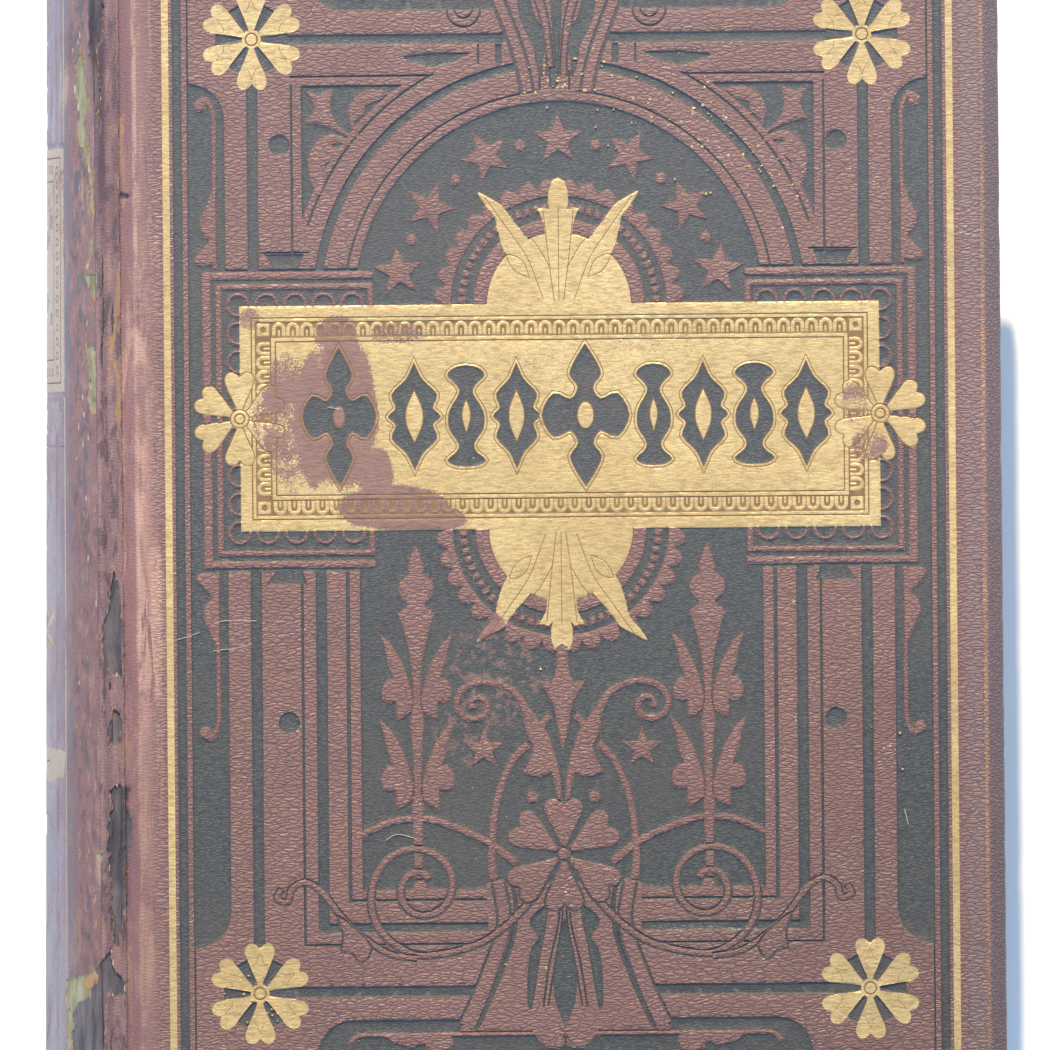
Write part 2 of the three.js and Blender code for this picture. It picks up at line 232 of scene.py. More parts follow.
def leather(name, base, light, dark, worn, border=0.0, rough=0.50, spine_mottle_and_glare=0.0, groove=0.0):
    s = Shade(name, specular=0.55)
    dome, crease = creases(s)
    if border or spine_mottle_and_glare or groove:
        worn_smooth = s.span(s.x, -0.0930, -0.0975, 0.0, 0.72)
        dome = s.maths("ADD", s.maths("MULTIPLY", s.maths("SUBTRACT", 1.0, worn_smooth), dome), worn_smooth)
        crease = s.maths("MULTIPLY", crease, s.maths("SUBTRACT", 1.0, worn_smooth))
    tone = s.noise(38, None, 5.0, 0.6, 0.3, 2.0)
    fine = s.noise(2400, s.stretch(0.6, 1.0, 1.0), 2.0, 0.5, 0.0, 4.0)
    colour = s.mix(s.span(tone, 0.35, 0.75, 0.0, 0.30), base, dark)
    colour = s.mix(s.span(fine, 0.45, 0.75, 0.0, 0.30), colour, light)
    rub = s.noise(90, s.stretch(1.0, 0.35, 1.0), 6.0, 0.65, 0.5, 7.0)
    colour = s.mix(s.span(rub, 0.60, 0.82, 0.0, 0.45), colour, worn)
    streak = s.noise(420, s.stretch(1.0, 0.10, 1.0), 5.0, 0.7, 0.6, 9.0)
    patch = s.noise(55, s.stretch(1.4, 0.45, 1.0), 5.0, 0.65, 0.6, 15.0)
    if border:
        # rubbed strip beside the spine joint: tan and pink scuffs over dark red, heavier towards the tail
        left = s.span(s.x, -0.0925, -0.0950)
        heavy = s.maths("MULTIPLY", s.span(s.y, 0.078, 0.052, 0.22, 1.0), s.span(s.y, -0.044, -0.062, 1.0, 0.42))
        wide = s.maths("MAXIMUM", s.span(s.x, -0.0958, -0.0990, 0.22, 1.0), s.blob(-96, -27, 6, 20))
        cloudy = s.noise(130, s.stretch(1.0, 0.30, 1.0), 8.0, 0.72, 0.8, 25.0)
        colour = s.mix(s.maths("MULTIPLY", left, 0.9), colour, (0.225, 0.112, 0.100))
        amount = s.maths("MULTIPLY", s.maths("MULTIPLY", left, s.maths("MULTIPLY", heavy, wide)),
                         s.span(cloudy, 0.38, 0.54, 0.10, 1.0))
        colour = s.mix(amount, colour, (0.50, 0.275, 0.205))
        strand = s.maths("MULTIPLY", left, s.span(streak, 0.54, 0.62, 0.0, 0.45))
        colour = s.mix(strand, colour, (0.44, 0.255, 0.175))
        colour = s.mix(s.maths("MULTIPLY", left, s.span(streak, 0.44, 0.36, 0.0, 0.75)), colour, (0.135, 0.062, 0.066))
        bevel = s.span(s.x, -0.1000, -0.1010)
        colour = s.mix(s.maths("MULTIPLY", bevel, s.span(cloudy, 0.50, 0.60, 0.75, 0.10)), colour,
                       (0.25, 0.115, 0.115))
        # the ridge at the inner edge of the left bevel, lightened: partly rubbed leather, partly a painted highlight
        # along the bevel's edge; less towards the tail
        ridge = s.strip(s.x, -100.1, 0.30, 0.5)
        colour = s.mix(s.maths("MULTIPLY", ridge, s.maths("MULTIPLY", s.span(cloudy, 0.44, 0.56, 0.08, 0.8),
                                                   s.span(s.y, -0.02, -0.06, 1.0, 0.35))), colour, (0.50, 0.32, 0.25))
        tan = s.strip(s.x, -103.4, 0.4, 0.6)
        colour = s.mix(s.maths("MULTIPLY", tan, s.maths("MULTIPLY", s.span(cloudy, 0.50, 0.58, 0.0, 0.8),
                                                 s.span(s.y, 0.070, 0.115, 0.25, 1.0))), colour, (0.50, 0.26, 0.12))
        # the fore-edge side of the board: a paler tone, the ridge rubbed pale, and the outermost strip darker
        side = s.span(s.x, 0.1115, 0.1150, 0.0, 0.75)
        colour = s.mix(side, colour, (0.245, 0.155, 0.148))
        edge = s.strip(s.x, 118.6, 0.25, 0.5)
        colour = s.mix(s.maths("MULTIPLY", edge, s.span(rub, 0.35, 0.6, 0.25, 1.0)), colour, (0.45, 0.23, 0.13))
        outer = s.span(s.x, 0.1189, 0.1199, 0.0, 0.65)
        colour = s.mix(outer, colour, (0.145, 0.094, 0.096))
    # spine leather: dark and pale blotches, pale streaks, a dark column, painted glare at the glancing edge, and red
    # patches
    if spine_mottle_and_glare:
        blotch = s.noise(330, s.stretch(1.0, 0.5, 1.0), 6.0, 0.7, 0.5, 19.0)
        colour = s.mix(s.span(blotch, 0.36, 0.50, 0.75, 0.0), colour, dark)
        colour = s.mix(s.span(blotch, 0.54, 0.66, 0.0, 0.70), colour, (0.36, 0.19, 0.165))
        colour = s.mix(s.maths("MULTIPLY", s.span(patch, 0.50, 0.62), s.span(streak, 0.48, 0.6, 0.0, 0.85)), colour,
                       (0.46, 0.29, 0.20))
        column = s.maths("MULTIPLY", s.strip(s.x, -114.4, 1.0, 0.9), s.span(s.y, -0.02, 0.05, 0.35, 1.0))
        colour = s.mix(s.maths("MULTIPLY", column, s.span(blotch, 0.52, 0.44, 0.0, 0.85)), colour, (0.078, 0.080, 0.10))
        # painted glare: the spine's glancing edge is mixed towards a pale bluish grey, a painted sheen of the sky
        pale = s.span(s.x, -0.1170, -0.1222)
        colour = s.mix(s.maths("MULTIPLY", pale, 0.62), colour, (0.40, 0.385, 0.47))
        colour = rubbed_back(s, colour, pale, streak, blotch)
    if groove:
        # painted shade: the spine-side slope of the joint groove is darkened towards the head; the joint leather is
        # darker there too
        dim = s.maths("MULTIPLY", s.span(s.x, -0.1072, -0.1082), s.span(s.y, 0.060, 0.105))
        line = s.span(streak, 0.40, 0.62)
        colour = s.mix(s.maths("MULTIPLY", line, 0.65), colour, (0.31, 0.175, 0.165))
        colour = s.mix(s.span(streak, 0.42, 0.34, 0.0, 0.8), colour, (0.10, 0.055, 0.065))
        colour = s.mix(s.maths("MULTIPLY", dim, 0.85), colour, (0.085, 0.050, 0.070))
        wine = s.maths("MULTIPLY", s.blob(-105.5, 100, 4.5, 32), s.span(streak, 0.36, 0.60, 0.75, 0.35))
        colour = s.mix(wine, colour, (0.135, 0.058, 0.062))
        blotch = s.noise(330, s.stretch(1.0, 0.35, 1.0), 6.0, 0.7, 0.5, 19.0)
        colour = s.mix(s.span(blotch, 0.40, 0.50, 0.80, 0.0), colour, (0.085, 0.056, 0.066))
        colour = s.mix(s.span(blotch, 0.55, 0.64, 0.0, 0.6), colour, (0.38, 0.20, 0.16))
    # painted shade in the grain creases: thin dark lines where the creases fall
    colour = s.mix(s.maths("MULTIPLY", crease, 0.62), colour, dark)
    dust = specks(s, 420, 0.045, 3.3)
    colour = s.mix(s.maths("MULTIPLY", dust, 0.8), colour, (0.66, 0.54, 0.38))
    colour = tail_dark_head_glare(s, colour)
    shine = s.span(s.noise(60, None, 3.0, 0.5, 0.0, 5.0), 0.3, 0.7, rough - 0.08, rough + 0.12)
    normal = s.bump(dome, 0.85, 0.00020)
    normal = s.bump(fine, 0.4, 0.00008, normal)
    normal = s.bump(tone, 0.25, 0.0006, normal)
    if spine_mottle_and_glare or groove:
        normal = s.bump(streak, 0.6, 0.0004, normal)
    return s.finish(colour, shine, normal)


def enamel(name, low=(0.056, 0.059, 0.058), high=(0.094, 0.092, 0.088), through=0.0):
    s = Shade(name, specular=0.4)
    dome, crease = creases(s, 1.25, 0.5)
    mottled = s.noise(1150, s.stretch(0.55, 1.0, 1.0), 3.0, 0.65, 0.4, 1.0)
    tone = s.noise(22, None, 4.0, 0.55, 0.2, 6.0)
    colour = s.mix(s.span(mottled, 0.34, 0.66), low, high)
    colour = s.mix(s.span(tone, 0.45, 0.75, 0.0, 0.45), colour, (0.115, 0.098, 0.092))
    # enamel rubbed through to the leather in places
    rub = s.noise(420, None, 4.0, 0.7, 0.3, 8.0)
    area = s.maths("MAXIMUM", s.blob(-8, -41, 13, 13), s.blob(-16, -56, 8, 9))
    area = s.maths("MAXIMUM", area, s.span(s.noise(14, None, 3.0, 0.5, 0.0, 12.0), 0.62, 0.8, 0.0, 0.7))
    gone = s.maths("MULTIPLY", area, s.span(rub, 0.50, 0.60, 0.0, 0.85))
    colour = s.mix(gone, colour, (0.24, 0.135, 0.115))
    # painted shade in the grain creases: thin dark lines where the creases fall
    colour = s.mix(s.maths("MULTIPLY", crease, 0.4), colour, (0.045, 0.042, 0.040))
    if through:
        bare = s.noise(260, s.stretch(1.0, 0.5, 1.0), 6.0, 0.7, 0.5, 17.0)
        colour = s.mix(s.span(bare, 0.46, 0.56, 0.0, through), colour, (0.25, 0.125, 0.13))
        # painted glare: the spine enamel's glancing edge is mixed towards a pale bluish grey, as on the spine leather
        pale = s.span(s.x, -0.1170, -0.1222)
        colour = s.mix(s.maths("MULTIPLY", pale, 0.62), colour, (0.40, 0.385, 0.47))
        streak = s.noise(420, s.stretch(1.0, 0.10, 1.0), 5.0, 0.7, 0.6, 9.0)
        colour = rubbed_back(s, colour, pale, streak, bare)
    dust = specks(s, 480, 0.05, 13.0)
    colour = tail_dark_head_glare(s, s.mix(dust, colour, (0.60, 0.52, 0.38)))
    normal = s.bump(dome, 0.5, 0.00012)
    normal = s.bump(mottled, 0.45, 0.00012, normal)
    return s.finish(colour, s.span(tone, 0.3, 0.7, 0.42, 0.6), normal)


def gilt(name, worn_areas, leather_tone=(0.26, 0.13, 0.10), tone=(0.68, 0.465, 0.19), pale=(0.84, 0.605, 0.27),
         deep=(0.40, 0.235, 0.085)):
    s = Shade(name, metallic=0.0, specular=0.65)
    dome, crease = creases(s, 0.9, 0.3)
    weave = s.noise(1000, s.stretch(0.35, 1.3, 1.0), 3.0, 0.6, 0.4, 1.0)
    cloud = s.noise(30, None, 5.0, 0.6, 0.4, 2.0)
    pepper = s.noise(2600, None, 2.0, 0.7, 0.0, 4.0)
    colour = s.mix(s.span(cloud, 0.35, 0.7), tone, pale)
    colour = s.mix(s.span(weave, 0.42, 0.70, 0.0, 0.65), colour, deep)
    colour = s.mix(s.span(pepper, 0.52, 0.66, 0.0, 0.60), colour, deep)
    # painted shade in the grain creases: the gold darker along thin crease lines
    colour = s.mix(s.maths("MULTIPLY", crease, 0.22), colour, deep)
    scuff = s.noise(120, s.stretch(1.0, 0.8, 1.0), 8.0, 0.72, 0.5, 11.0)
    area = s.span(s.noise(11, None, 3.0, 0.5, 0.0, 21.0), 0.62, 0.8, 0.0, 0.34)
    for cu, cv, ru, rv, amount in worn_areas:
        area = s.maths("MAXIMUM", area, s.maths("MULTIPLY", s.blob(cu + ART_X, cv, ru, rv, 0.55), amount))
    level = s.maths("ADD", area, s.maths("MULTIPLY", s.maths("SUBTRACT", scuff, 0.5), 1.6))
    level = s.maths("ADD", level, s.maths("MULTIPLY", s.maths("SUBTRACT", pepper, 0.5), 1.2))
    gone = s.span(level, 0.46, 0.57)
    colour = s.mix(gone, colour, s.mix(s.span(weave, 0.4, 0.6), leather_tone, (0.30, 0.165, 0.13)))
    colour = tail_dark_head_glare(s, colour)
    normal = s.bump(dome, 0.40, 0.00009)
    normal = s.bump(pepper, 0.38, 0.00009, normal)
    normal = s.bump(cloud, 0.2, 0.0004, normal)
    s.bsdf.inputs["Metallic"].default_value = 0.25
    return s.finish(colour, s.span(gone, 0.0, 1.0, 0.42, 0.62), normal)


def plain(name, colour_a, colour_b, scale, rough, grain=0.3, depth=0.0001, specular=0.3, lie=(1, 1, 1),
          metallic=0.0):
    s = Shade(name, metallic=metallic, specular=specular)
    tone = s.noise(scale, s.stretch(*lie), 5.0, 0.6, 0.3, 2.0)
    fine = s.noise(scale * 9, s.stretch(*lie), 3.0, 0.6, 0.0, 5.0)
    colour = s.mix(s.span(tone, 0.3, 0.7), colour_a, colour_b)
    colour = s.mix(s.span(fine, 0.5, 0.8, 0.0, 0.35), colour, tuple(c * 0.7 for c in colour_a))
    return s.finish(colour, rough, s.bump(fine, grain, depth))


def paper(name, base, foxed, amount=0.5):
    s = Shade(name, specular=0.2)
    fibre = s.noise(900, None, 4.0, 0.6, 0.2, 1.0)
    cloud = s.noise(14, None, 5.0, 0.6, 0.4, 2.0)
    spots = s.span(s.cells(95, s.stretch(1, 1, 1)), 0.10, 0.22, 1.0, 0.0)
    colour = s.mix(s.span(cloud, 0.4, 0.75, 0.0, amount), base, foxed)
    colour = s.mix(s.maths("MULTIPLY", spots, s.span(cloud, 0.5, 0.7, 0.0, 0.5)), colour, foxed)
    colour = s.mix(s.span(fibre, 0.45, 0.7, 0.0, 0.10), colour, foxed)
    # toned darker towards the edges of the leaf
    edge = s.maths("MAXIMUM", s.span(s.maths("ABSOLUTE", s.y), 0.135, 0.153), s.span(s.x, 0.100, 0.118))
    colour = s.mix(s.maths("MULTIPLY", edge, 0.5), colour, foxed)
    return s.finish(colour, 0.9, s.bump(fibre, 0.25, 0.00006))


RED = leather("red_leather", (0.248, 0.120, 0.100), (0.36, 0.205, 0.175), (0.100, 0.050, 0.042),
              (0.33, 0.185, 0.13), border=1.0)
DARK = enamel("dark_enamel")
WORN = [
    (-56, 27, 9, 21, 1.0), (-63, 25, 6, 18, 0.92), (-70, 25, 8, 19, 0.66), (-48, 10, 5, 8, 0.85), (-43, 2.0, 15, 6, 1.0),
    (-33, -1.0, 9, 3.6, 0.95), (-58, 47, 6, 5, 0.75), (-42, 47, 8, 3, 0.5), (-76, 24, 4, 9, 0.55),
    (-80, 51, 3, 3, 0.55), (80, 17, 5, 5, 0.6), (76, 28, 4, 6, 0.55), (-19, -29, 5, 4, 0.9),
    (-6, 40, 10, 4, 0.35), (30, 44, 20, 4, 0.3),
]
GOLD = gilt("gold_foil", WORN)
TRACE = plain("gold_shadow_line", (0.20, 0.115, 0.055), (0.30, 0.18, 0.08), 300, 0.6)
SPINE_RED = leather("spine_leather", (0.235, 0.105, 0.100), (0.36, 0.24, 0.22), (0.075, 0.042, 0.052),
                    (0.34, 0.165, 0.14), spine_mottle_and_glare=1.0)
SPINE_DARK = enamel("spine_enamel", (0.115, 0.110, 0.135), (0.17, 0.155, 0.18), 0.8)
SPINE_GILT = gilt("spine_gilt", [(-127, 80, 30, 14, 0.4), (-127, -30, 30, 10, 0.5)],
                  tone=(0.43, 0.335, 0.27), pale=(0.52, 0.42, 0.35), deep=(0.27, 0.19, 0.14))
JOINT = leather("joint_leather", (0.24, 0.135, 0.135), (0.36, 0.24, 0.22), (0.085, 0.050, 0.056),
                (0.36, 0.19, 0.12), rough=0.66, groove=1.0)
TORN = plain("torn_lining_dark", (0.055, 0.052, 0.066), (0.200, 0.165, 0.165), 300, 0.8, 0.8, 0.0005,
             lie=(1, 0.22, 1))
PALE = plain("bared_lining_pale", (0.22, 0.21, 0.115), (0.40, 0.36, 0.24), 420, 0.9, 0.7, 0.0004,
             lie=(1, 0.30, 1))
FRAY = plain("frayed_leather_edge", (0.42, 0.235, 0.095), (0.34, 0.21, 0.14), 400, 0.85, 0.6, 0.0003)
BOARD = plain("millboard", (0.30, 0.24, 0.17), (0.36, 0.29, 0.20), 200, 0.9, 0.4, 0.0002)
PAPER = paper("rag_paper", (0.74, 0.66, 0.50), (0.52, 0.38, 0.22))
ENDPAPER = paper("endpaper", (0.60, 0.50, 0.36), (0.40, 0.28, 0.17), 0.7)
CLOTH = plain("hinge_cloth", (0.45, 0.38, 0.28), (0.52, 0.45, 0.33), 500, 0.9, 0.6, 0.0002)


NICK = plain("nicked_pale", (0.46, 0.34, 0.26), (0.58, 0.47, 0.37), 500, 0.7, 0.3, 0.0001)
BACK_RED = leather("back_red_leather", (0.235, 0.122, 0.110), (0.38, 0.25, 0.225), (0.105, 0.060, 0.057),
                   (0.29, 0.165, 0.12))
CARD = plain("grey_card", (0.30, 0.28, 0.24), (0.38, 0.35, 0.29), 150, 0.9, 0.4, 0.0002)
HEMP = plain("hemp_cord", (0.42, 0.33, 0.20), (0.55, 0.45, 0.29), 700, 0.9, 0.7, 0.0003, lie=(1, 1, 0.4))
THREAD = plain("linen_thread", (0.66, 0.60, 0.46), (0.75, 0.70, 0.57), 900, 0.8, 0.6, 0.0002)
BAND_RED = plain("silk_red", (0.30, 0.05, 0.05), (0.38, 0.08, 0.06), 900, 0.45, 0.6, 0.0002, specular=0.6)
BAND_CREAM = plain("silk_cream", (0.66, 0.56, 0.38), (0.74, 0.65, 0.46), 900, 0.45, 0.6, 0.0002, specular=0.6)


def gilt_edges():
    """Gilt cut edges of the leaves, rubbed, with painted shade in fine lines for the gaps between them."""
    s = Shade("gilt_page_edges", metallic=0.35, specular=0.6)
    lines = s.noise(500, s.stretch(0.05, 0.05, 6.0), 3.0, 0.6, 0.0, 1.0)
    rub = s.noise(26, s.stretch(1.0, 1.0, 2.5), 6.0, 0.65, 0.4, 3.0)
    # painted shade: darker gold in fine lines along the gaps between the leaves
    colour = s.mix(s.span(lines, 0.35, 0.65), (0.42, 0.28, 0.11), (0.60, 0.43, 0.19))
    colour = s.mix(s.span(rub, 0.52, 0.64, 0.0, 0.85), colour, (0.50, 0.39, 0.24))
    dirt = s.noise(60, None, 4.0, 0.6, 0.0, 9.0)
    colour = s.mix(s.span(dirt, 0.6, 0.8, 0.0, 0.5), colour, (0.20, 0.14, 0.08))
    return s.finish(colour, s.span(rub, 0.5, 0.65, 0.34, 0.75), s.bump(lines, 0.5, 0.0001))


EDGE = gilt_edges()


def printed(name, build):
    """Leaf paper with a printed border, drawn in mm across the sheet."""
    s = Shade(name, specular=0.2)
    fibre = s.noise(900, None, 4.0, 0.6, 0.2, 1.0)
    cloud = s.noise(14, None, 5.0, 0.6, 0.4, 2.0)
    colour = s.mix(s.span(cloud, 0.4, 0.75, 0.0, 0.5), (0.72, 0.63, 0.46), (0.50, 0.36, 0.20))
    ink = build(s)
    ink = s.maths("MULTIPLY", ink, s.span(fibre, 0.2, 0.5, 0.65, 0.92))
    colour = s.mix(ink, colour, (0.09, 0.065, 0.055))
    return s.finish(colour, 0.88, s.bump(fibre, 0.25, 0.00006))


def box_line(s, cx, hx, hy, wide):
    """Ink along a rectangle centred on x = cx, in mm."""
    ax = s.maths("SUBTRACT", s.maths("ABSOLUTE", s.maths("SUBTRACT", s.x, cx * MM)), hx * MM)
    ay = s.maths("SUBTRACT", s.maths("ABSOLUTE", s.y), hy * MM)
    out = s.maths("ABSOLUTE", s.maths("MAXIMUM", ax, ay))
    return s.span(out, wide * MM * 0.5, wide * MM * 0.5 + 0.00012, 1.0, 0.0)


def plate_ink(s):
    ink = s.maths("MAXIMUM", box_line(s, 9, 84, 126, 1.1), box_line(s, 9, 80.5, 122.5, 0.4))
    dx, dy = s.maths("SUBTRACT", s.x, 0.009), s.maths("MULTIPLY", s.y, 0.72)
    r = s.maths("SQRT", s.maths("ADD", s.maths("MULTIPLY", dx, dx), s.maths("MULTIPLY", dy, dy)))
    rings = s.maths("ABSOLUTE", s.maths("SUBTRACT", s.maths("FRACT", s.maths("MULTIPLY", r, 420.0)), 0.5))
    inner = s.span(r, 0.066, 0.067, 1.0, 0.0)
    tone = s.span(s.noise(22, None, 4.0, 0.55, 0.6, 31.0), 0.35, 0.65)
    hatch = s.maths("MULTIPLY", s.maths("LESS_THAN", rings, s.maths("MULTIPLY", tone, 0.42)), inner)
    rim = s.span(s.maths("ABSOLUTE", s.maths("SUBTRACT", r, 0.069)), 0.0006, 0.0008, 1.0, 0.0)
    return s.maths("MAXIMUM", ink, s.maths("MAXIMUM", rim, s.maths("MULTIPLY", hatch, 0.8)))


def title_ink(s):
    ink = s.maths("MAXIMUM", box_line(s, 9, 90, 132, 0.9), box_line(s, 9, 87, 129, 0.3))
    for y, half, wide in ((58, 30, 0.5), (0, 46, 0.5), (-64, 24, 0.5)):
        line = s.maths("MULTIPLY", s.strip(s.y, y, wide * 0.5, 0.12), s.strip(s.x, 9, half, 0.3))
        ink = s.maths("MAXIMUM", ink, line)
    for y in (28, -30):
        a = s.maths("ADD", s.maths("ABSOLUTE", s.maths("SUBTRACT", s.x, 0.009)),
                    s.maths("ABSOLUTE", s.maths("SUBTRACT", s.y, y * MM)))
        ink = s.maths("MAXIMUM", ink, s.span(s.maths("ABSOLUTE", s.maths("SUBTRACT", a, 0.010)), 0.0005, 0.0007, 1.0, 0.0))
        ink = s.maths("MAXIMUM", ink, s.span(a, 0.0050, 0.0052, 1.0, 0.0))
    return ink


def record_ink(s):
    ink = s.maths("MAXIMUM", box_line(s, 9, 92, 134, 0.8), box_line(s, 9, 89, 131, 0.3))
    steps = s.maths("ABSOLUTE", s.maths("SUBTRACT", s.maths("FRACT", s.maths("MULTIPLY", s.y, 100.0)), 0.5))
    rows = s.span(steps, 0.012, 0.022, 1.0, 0.0)
    area = s.maths("MULTIPLY", s.strip(s.y, -8, 108, 0.3), s.strip(s.x, 9, 80, 0.3))
    ink = s.maths("MAXIMUM", ink, s.maths("MULTIPLY", s.maths("MULTIPLY", rows, area), 0.7))
    return s.maths("MAXIMUM", ink, s.maths("MULTIPLY", s.strip(s.x, 9, 0.2, 0.12), s.strip(s.y, -8, 108, 0.3)))


PLATE = printed("engraved_plate_paper", plate_ink)
TITLE = printed("title_paper", title_ink)
RECORD = printed("record_paper", record_ink)


# ---------------------------------------------------------------- flat outlines, in mm
def rect(u0, v0, u1, v1):
    return [(u0, v0), (u1, v0), (u1, v1), (u0, v1)]


def box(hu, hv, mid=0.0):
    return rect(-hu, mid - hv, hu, mid + hv)


def circle(cu, cv, r, n=None, flat=1.0):
    n = n or max(10, int(r * 5))
    return [(cu + r * math.cos(2 * math.pi * i / n), cv + flat * r * math.sin(2 * math.pi * i / n))
            for i in range(n)]


def arc(cu, cv, r, a0, a1, n):
    return [(cu + r * math.cos(math.radians(a0 + (a1 - a0) * i / n)),
             cv + r * math.sin(math.radians(a0 + (a1 - a0) * i / n))) for i in range(n + 1)]


def band(cu, cv, r0, r1, a0, a1, n=64):
    return arc(cu, cv, r1, a0, a1, n) + arc(cu, cv, r0, a1, a0, n)


def star(cu, cv, r, turn=0.0):
    pts = []
    for i in range(10):
        rr = r if i % 2 == 0 else r * 0.40
        a = math.radians(90 + turn + i * 36)
        pts.append((cu + rr * math.cos(a), cv + rr * math.sin(a)))
    return pts


def smooth(points, steps=4, closed=False):
    """Catmull-Rom curve through the points."""
    p = [np.array(q, float) for q in points]
    if closed:
        p = [p[-1]] + p + [p[0], p[1]]
    else:
        p = [2 * p[0] - p[1]] + p + [2 * p[-1] - p[-2]]
    out = []
    for i in range(1, len(p) - 2):
        a, b, c, d = p[i - 1:i + 3]
        for k in range(steps):
            t = k / steps
            q = 0.5 * (2 * b + (c - a) * t + (2 * a - 5 * b + 4 * c - d) * t ** 2
                       + (3 * b - a - 3 * c + d) * t ** 3)
            out.append(tuple(q))
    if not closed:
        out.append(tuple(p[-2]))
    return out


def ribbon(points, widths, steps=5):
    """A stroke of varying width along a smooth path."""
    path = np.array(smooth(points, steps))
    if np.isscalar(widths):
        widths = [widths] * len(points)
    w = np.interp(np.linspace(0, len(widths) - 1, len(path)), range(len(widths)), widths) / 2
    t = np.gradient(path, axis=0)
    t /= np.maximum(np.linalg.norm(t, axis=1), 1e-9)[:, None]
    n = np.stack([-t[:, 1], t[:, 0]], 1)
    left, right = path + n * w[:, None], path - n * w[:, None]
    return [tuple(q) for q in left] + [tuple(q) for q in right[::-1]]


def move(points, at=(0, 0), turn=0.0, scale=1.0, flip=False):
    a = math.radians(turn)
    out = []
    for x, y in points:
        x, y = (-x if flip else x) * scale, y * scale
        out.append((at[0] + x * math.cos(a) - y * math.sin(a), at[1] + x * math.sin(a) + y * math.cos(a)))
    return out


def mirror(points):
    return [(-u, v) for u, v in points]


def upside(points, about=0.0):
    return [(u, 2 * about - v) for u, v in points]


def grow(points, d):
    """The outline moved outwards by d."""
    p = np.array(points, float)
    area = 0.5 * np.sum(p[:, 0] * np.roll(p[:, 1], -1) - np.roll(p[:, 0], -1) * p[:, 1])
    ahead, back = np.roll(p, -1, 0) - p, p - np.roll(p, 1, 0)
    ahead /= np.maximum(np.linalg.norm(ahead, axis=1), 1e-9)[:, None]
    back /= np.maximum(np.linalg.norm(back, axis=1), 1e-9)[:, None]
    t = ahead + back
    t /= np.maximum(np.linalg.norm(t, axis=1), 1e-9)[:, None]
    n = np.stack([t[:, 1], -t[:, 0]], 1) * (1 if area > 0 else -1)
    stretch = 1 / np.clip(np.abs(np.sum(t * ahead, 1)), 0.45, 1.0)
    return [tuple(q) for q in p + n * (d * stretch)[:, None]]


def petal(length, width):
    """A heart petal pointing along +Y from the origin."""
    half = [(0.0, 0.0), (0.16, 0.30), (0.40, 0.62), (0.52, 0.84), (0.42, 0.98), (0.20, 1.0), (0.0, 0.90)]
    right = [(x * width, y * length) for x, y in smooth(half, 3)]
    left = [(-x, y) for x, y in right[1:-1][::-1]]
    return right + left


class Art:
    """Shapes in painting order, each with a kind."""

    def __init__(self):
        self.shapes = []

    def add(self, kind, *loops, both=False):
        self.shapes.append((kind, [list(l) for l in loops]))
        if both:
            self.shapes.append((kind, [mirror(l) for l in loops]))

    def stroke(self, kind, points, width, both=False, rim=0.0, rim_kind="line", steps=5):
        body = ribbon(points, width, steps)
        if rim:
            wide = [w + 2 * rim for w in (width if not np.isscalar(width) else [width] * len(points))]
            self.add(rim_kind, ribbon(points, wide, steps), both=both)
        self.add(kind, body, both=both)


def rosette(art, cu, cv, r=12.9, kind="gold", turn=0.0, ring=True, petals=6):
    """A flower of heart petals, with dark wedges and a ringed middle where ring is set."""
    step = 360 / petals
    if ring:
        for i in range(petals):
            wedge = [(-0.45, 2.2), (0.45, 2.2), (1.75, r * 0.72), (-1.75, r * 0.72)]
            art.add("dark", move(wedge, (cu, cv), turn + (i + 0.5) * step))
    for i in range(petals):
        art.add(kind, move(petal(r, 7.4 * r / 12.9), (cu, cv), turn + i * step))
        if ring:
            # engraved lines that fold over the two lobes of the petal
            for side in (1, -1):
                fold = smooth([(side * 0.16 * r, r * 0.55), (side * 0.07 * r, r * 0.62), (0.0, r * 0.82)], 4)
                art.add("trace", move(ribbon(fold, 0.14, 1), (cu, cv), turn + i * step))
    if ring:
        art.add(kind, circle(cu, cv, 2.5, 20))
        art.add("trace", circle(cu, cv, 1.75, 18), circle(cu, cv, 1.35, 16))


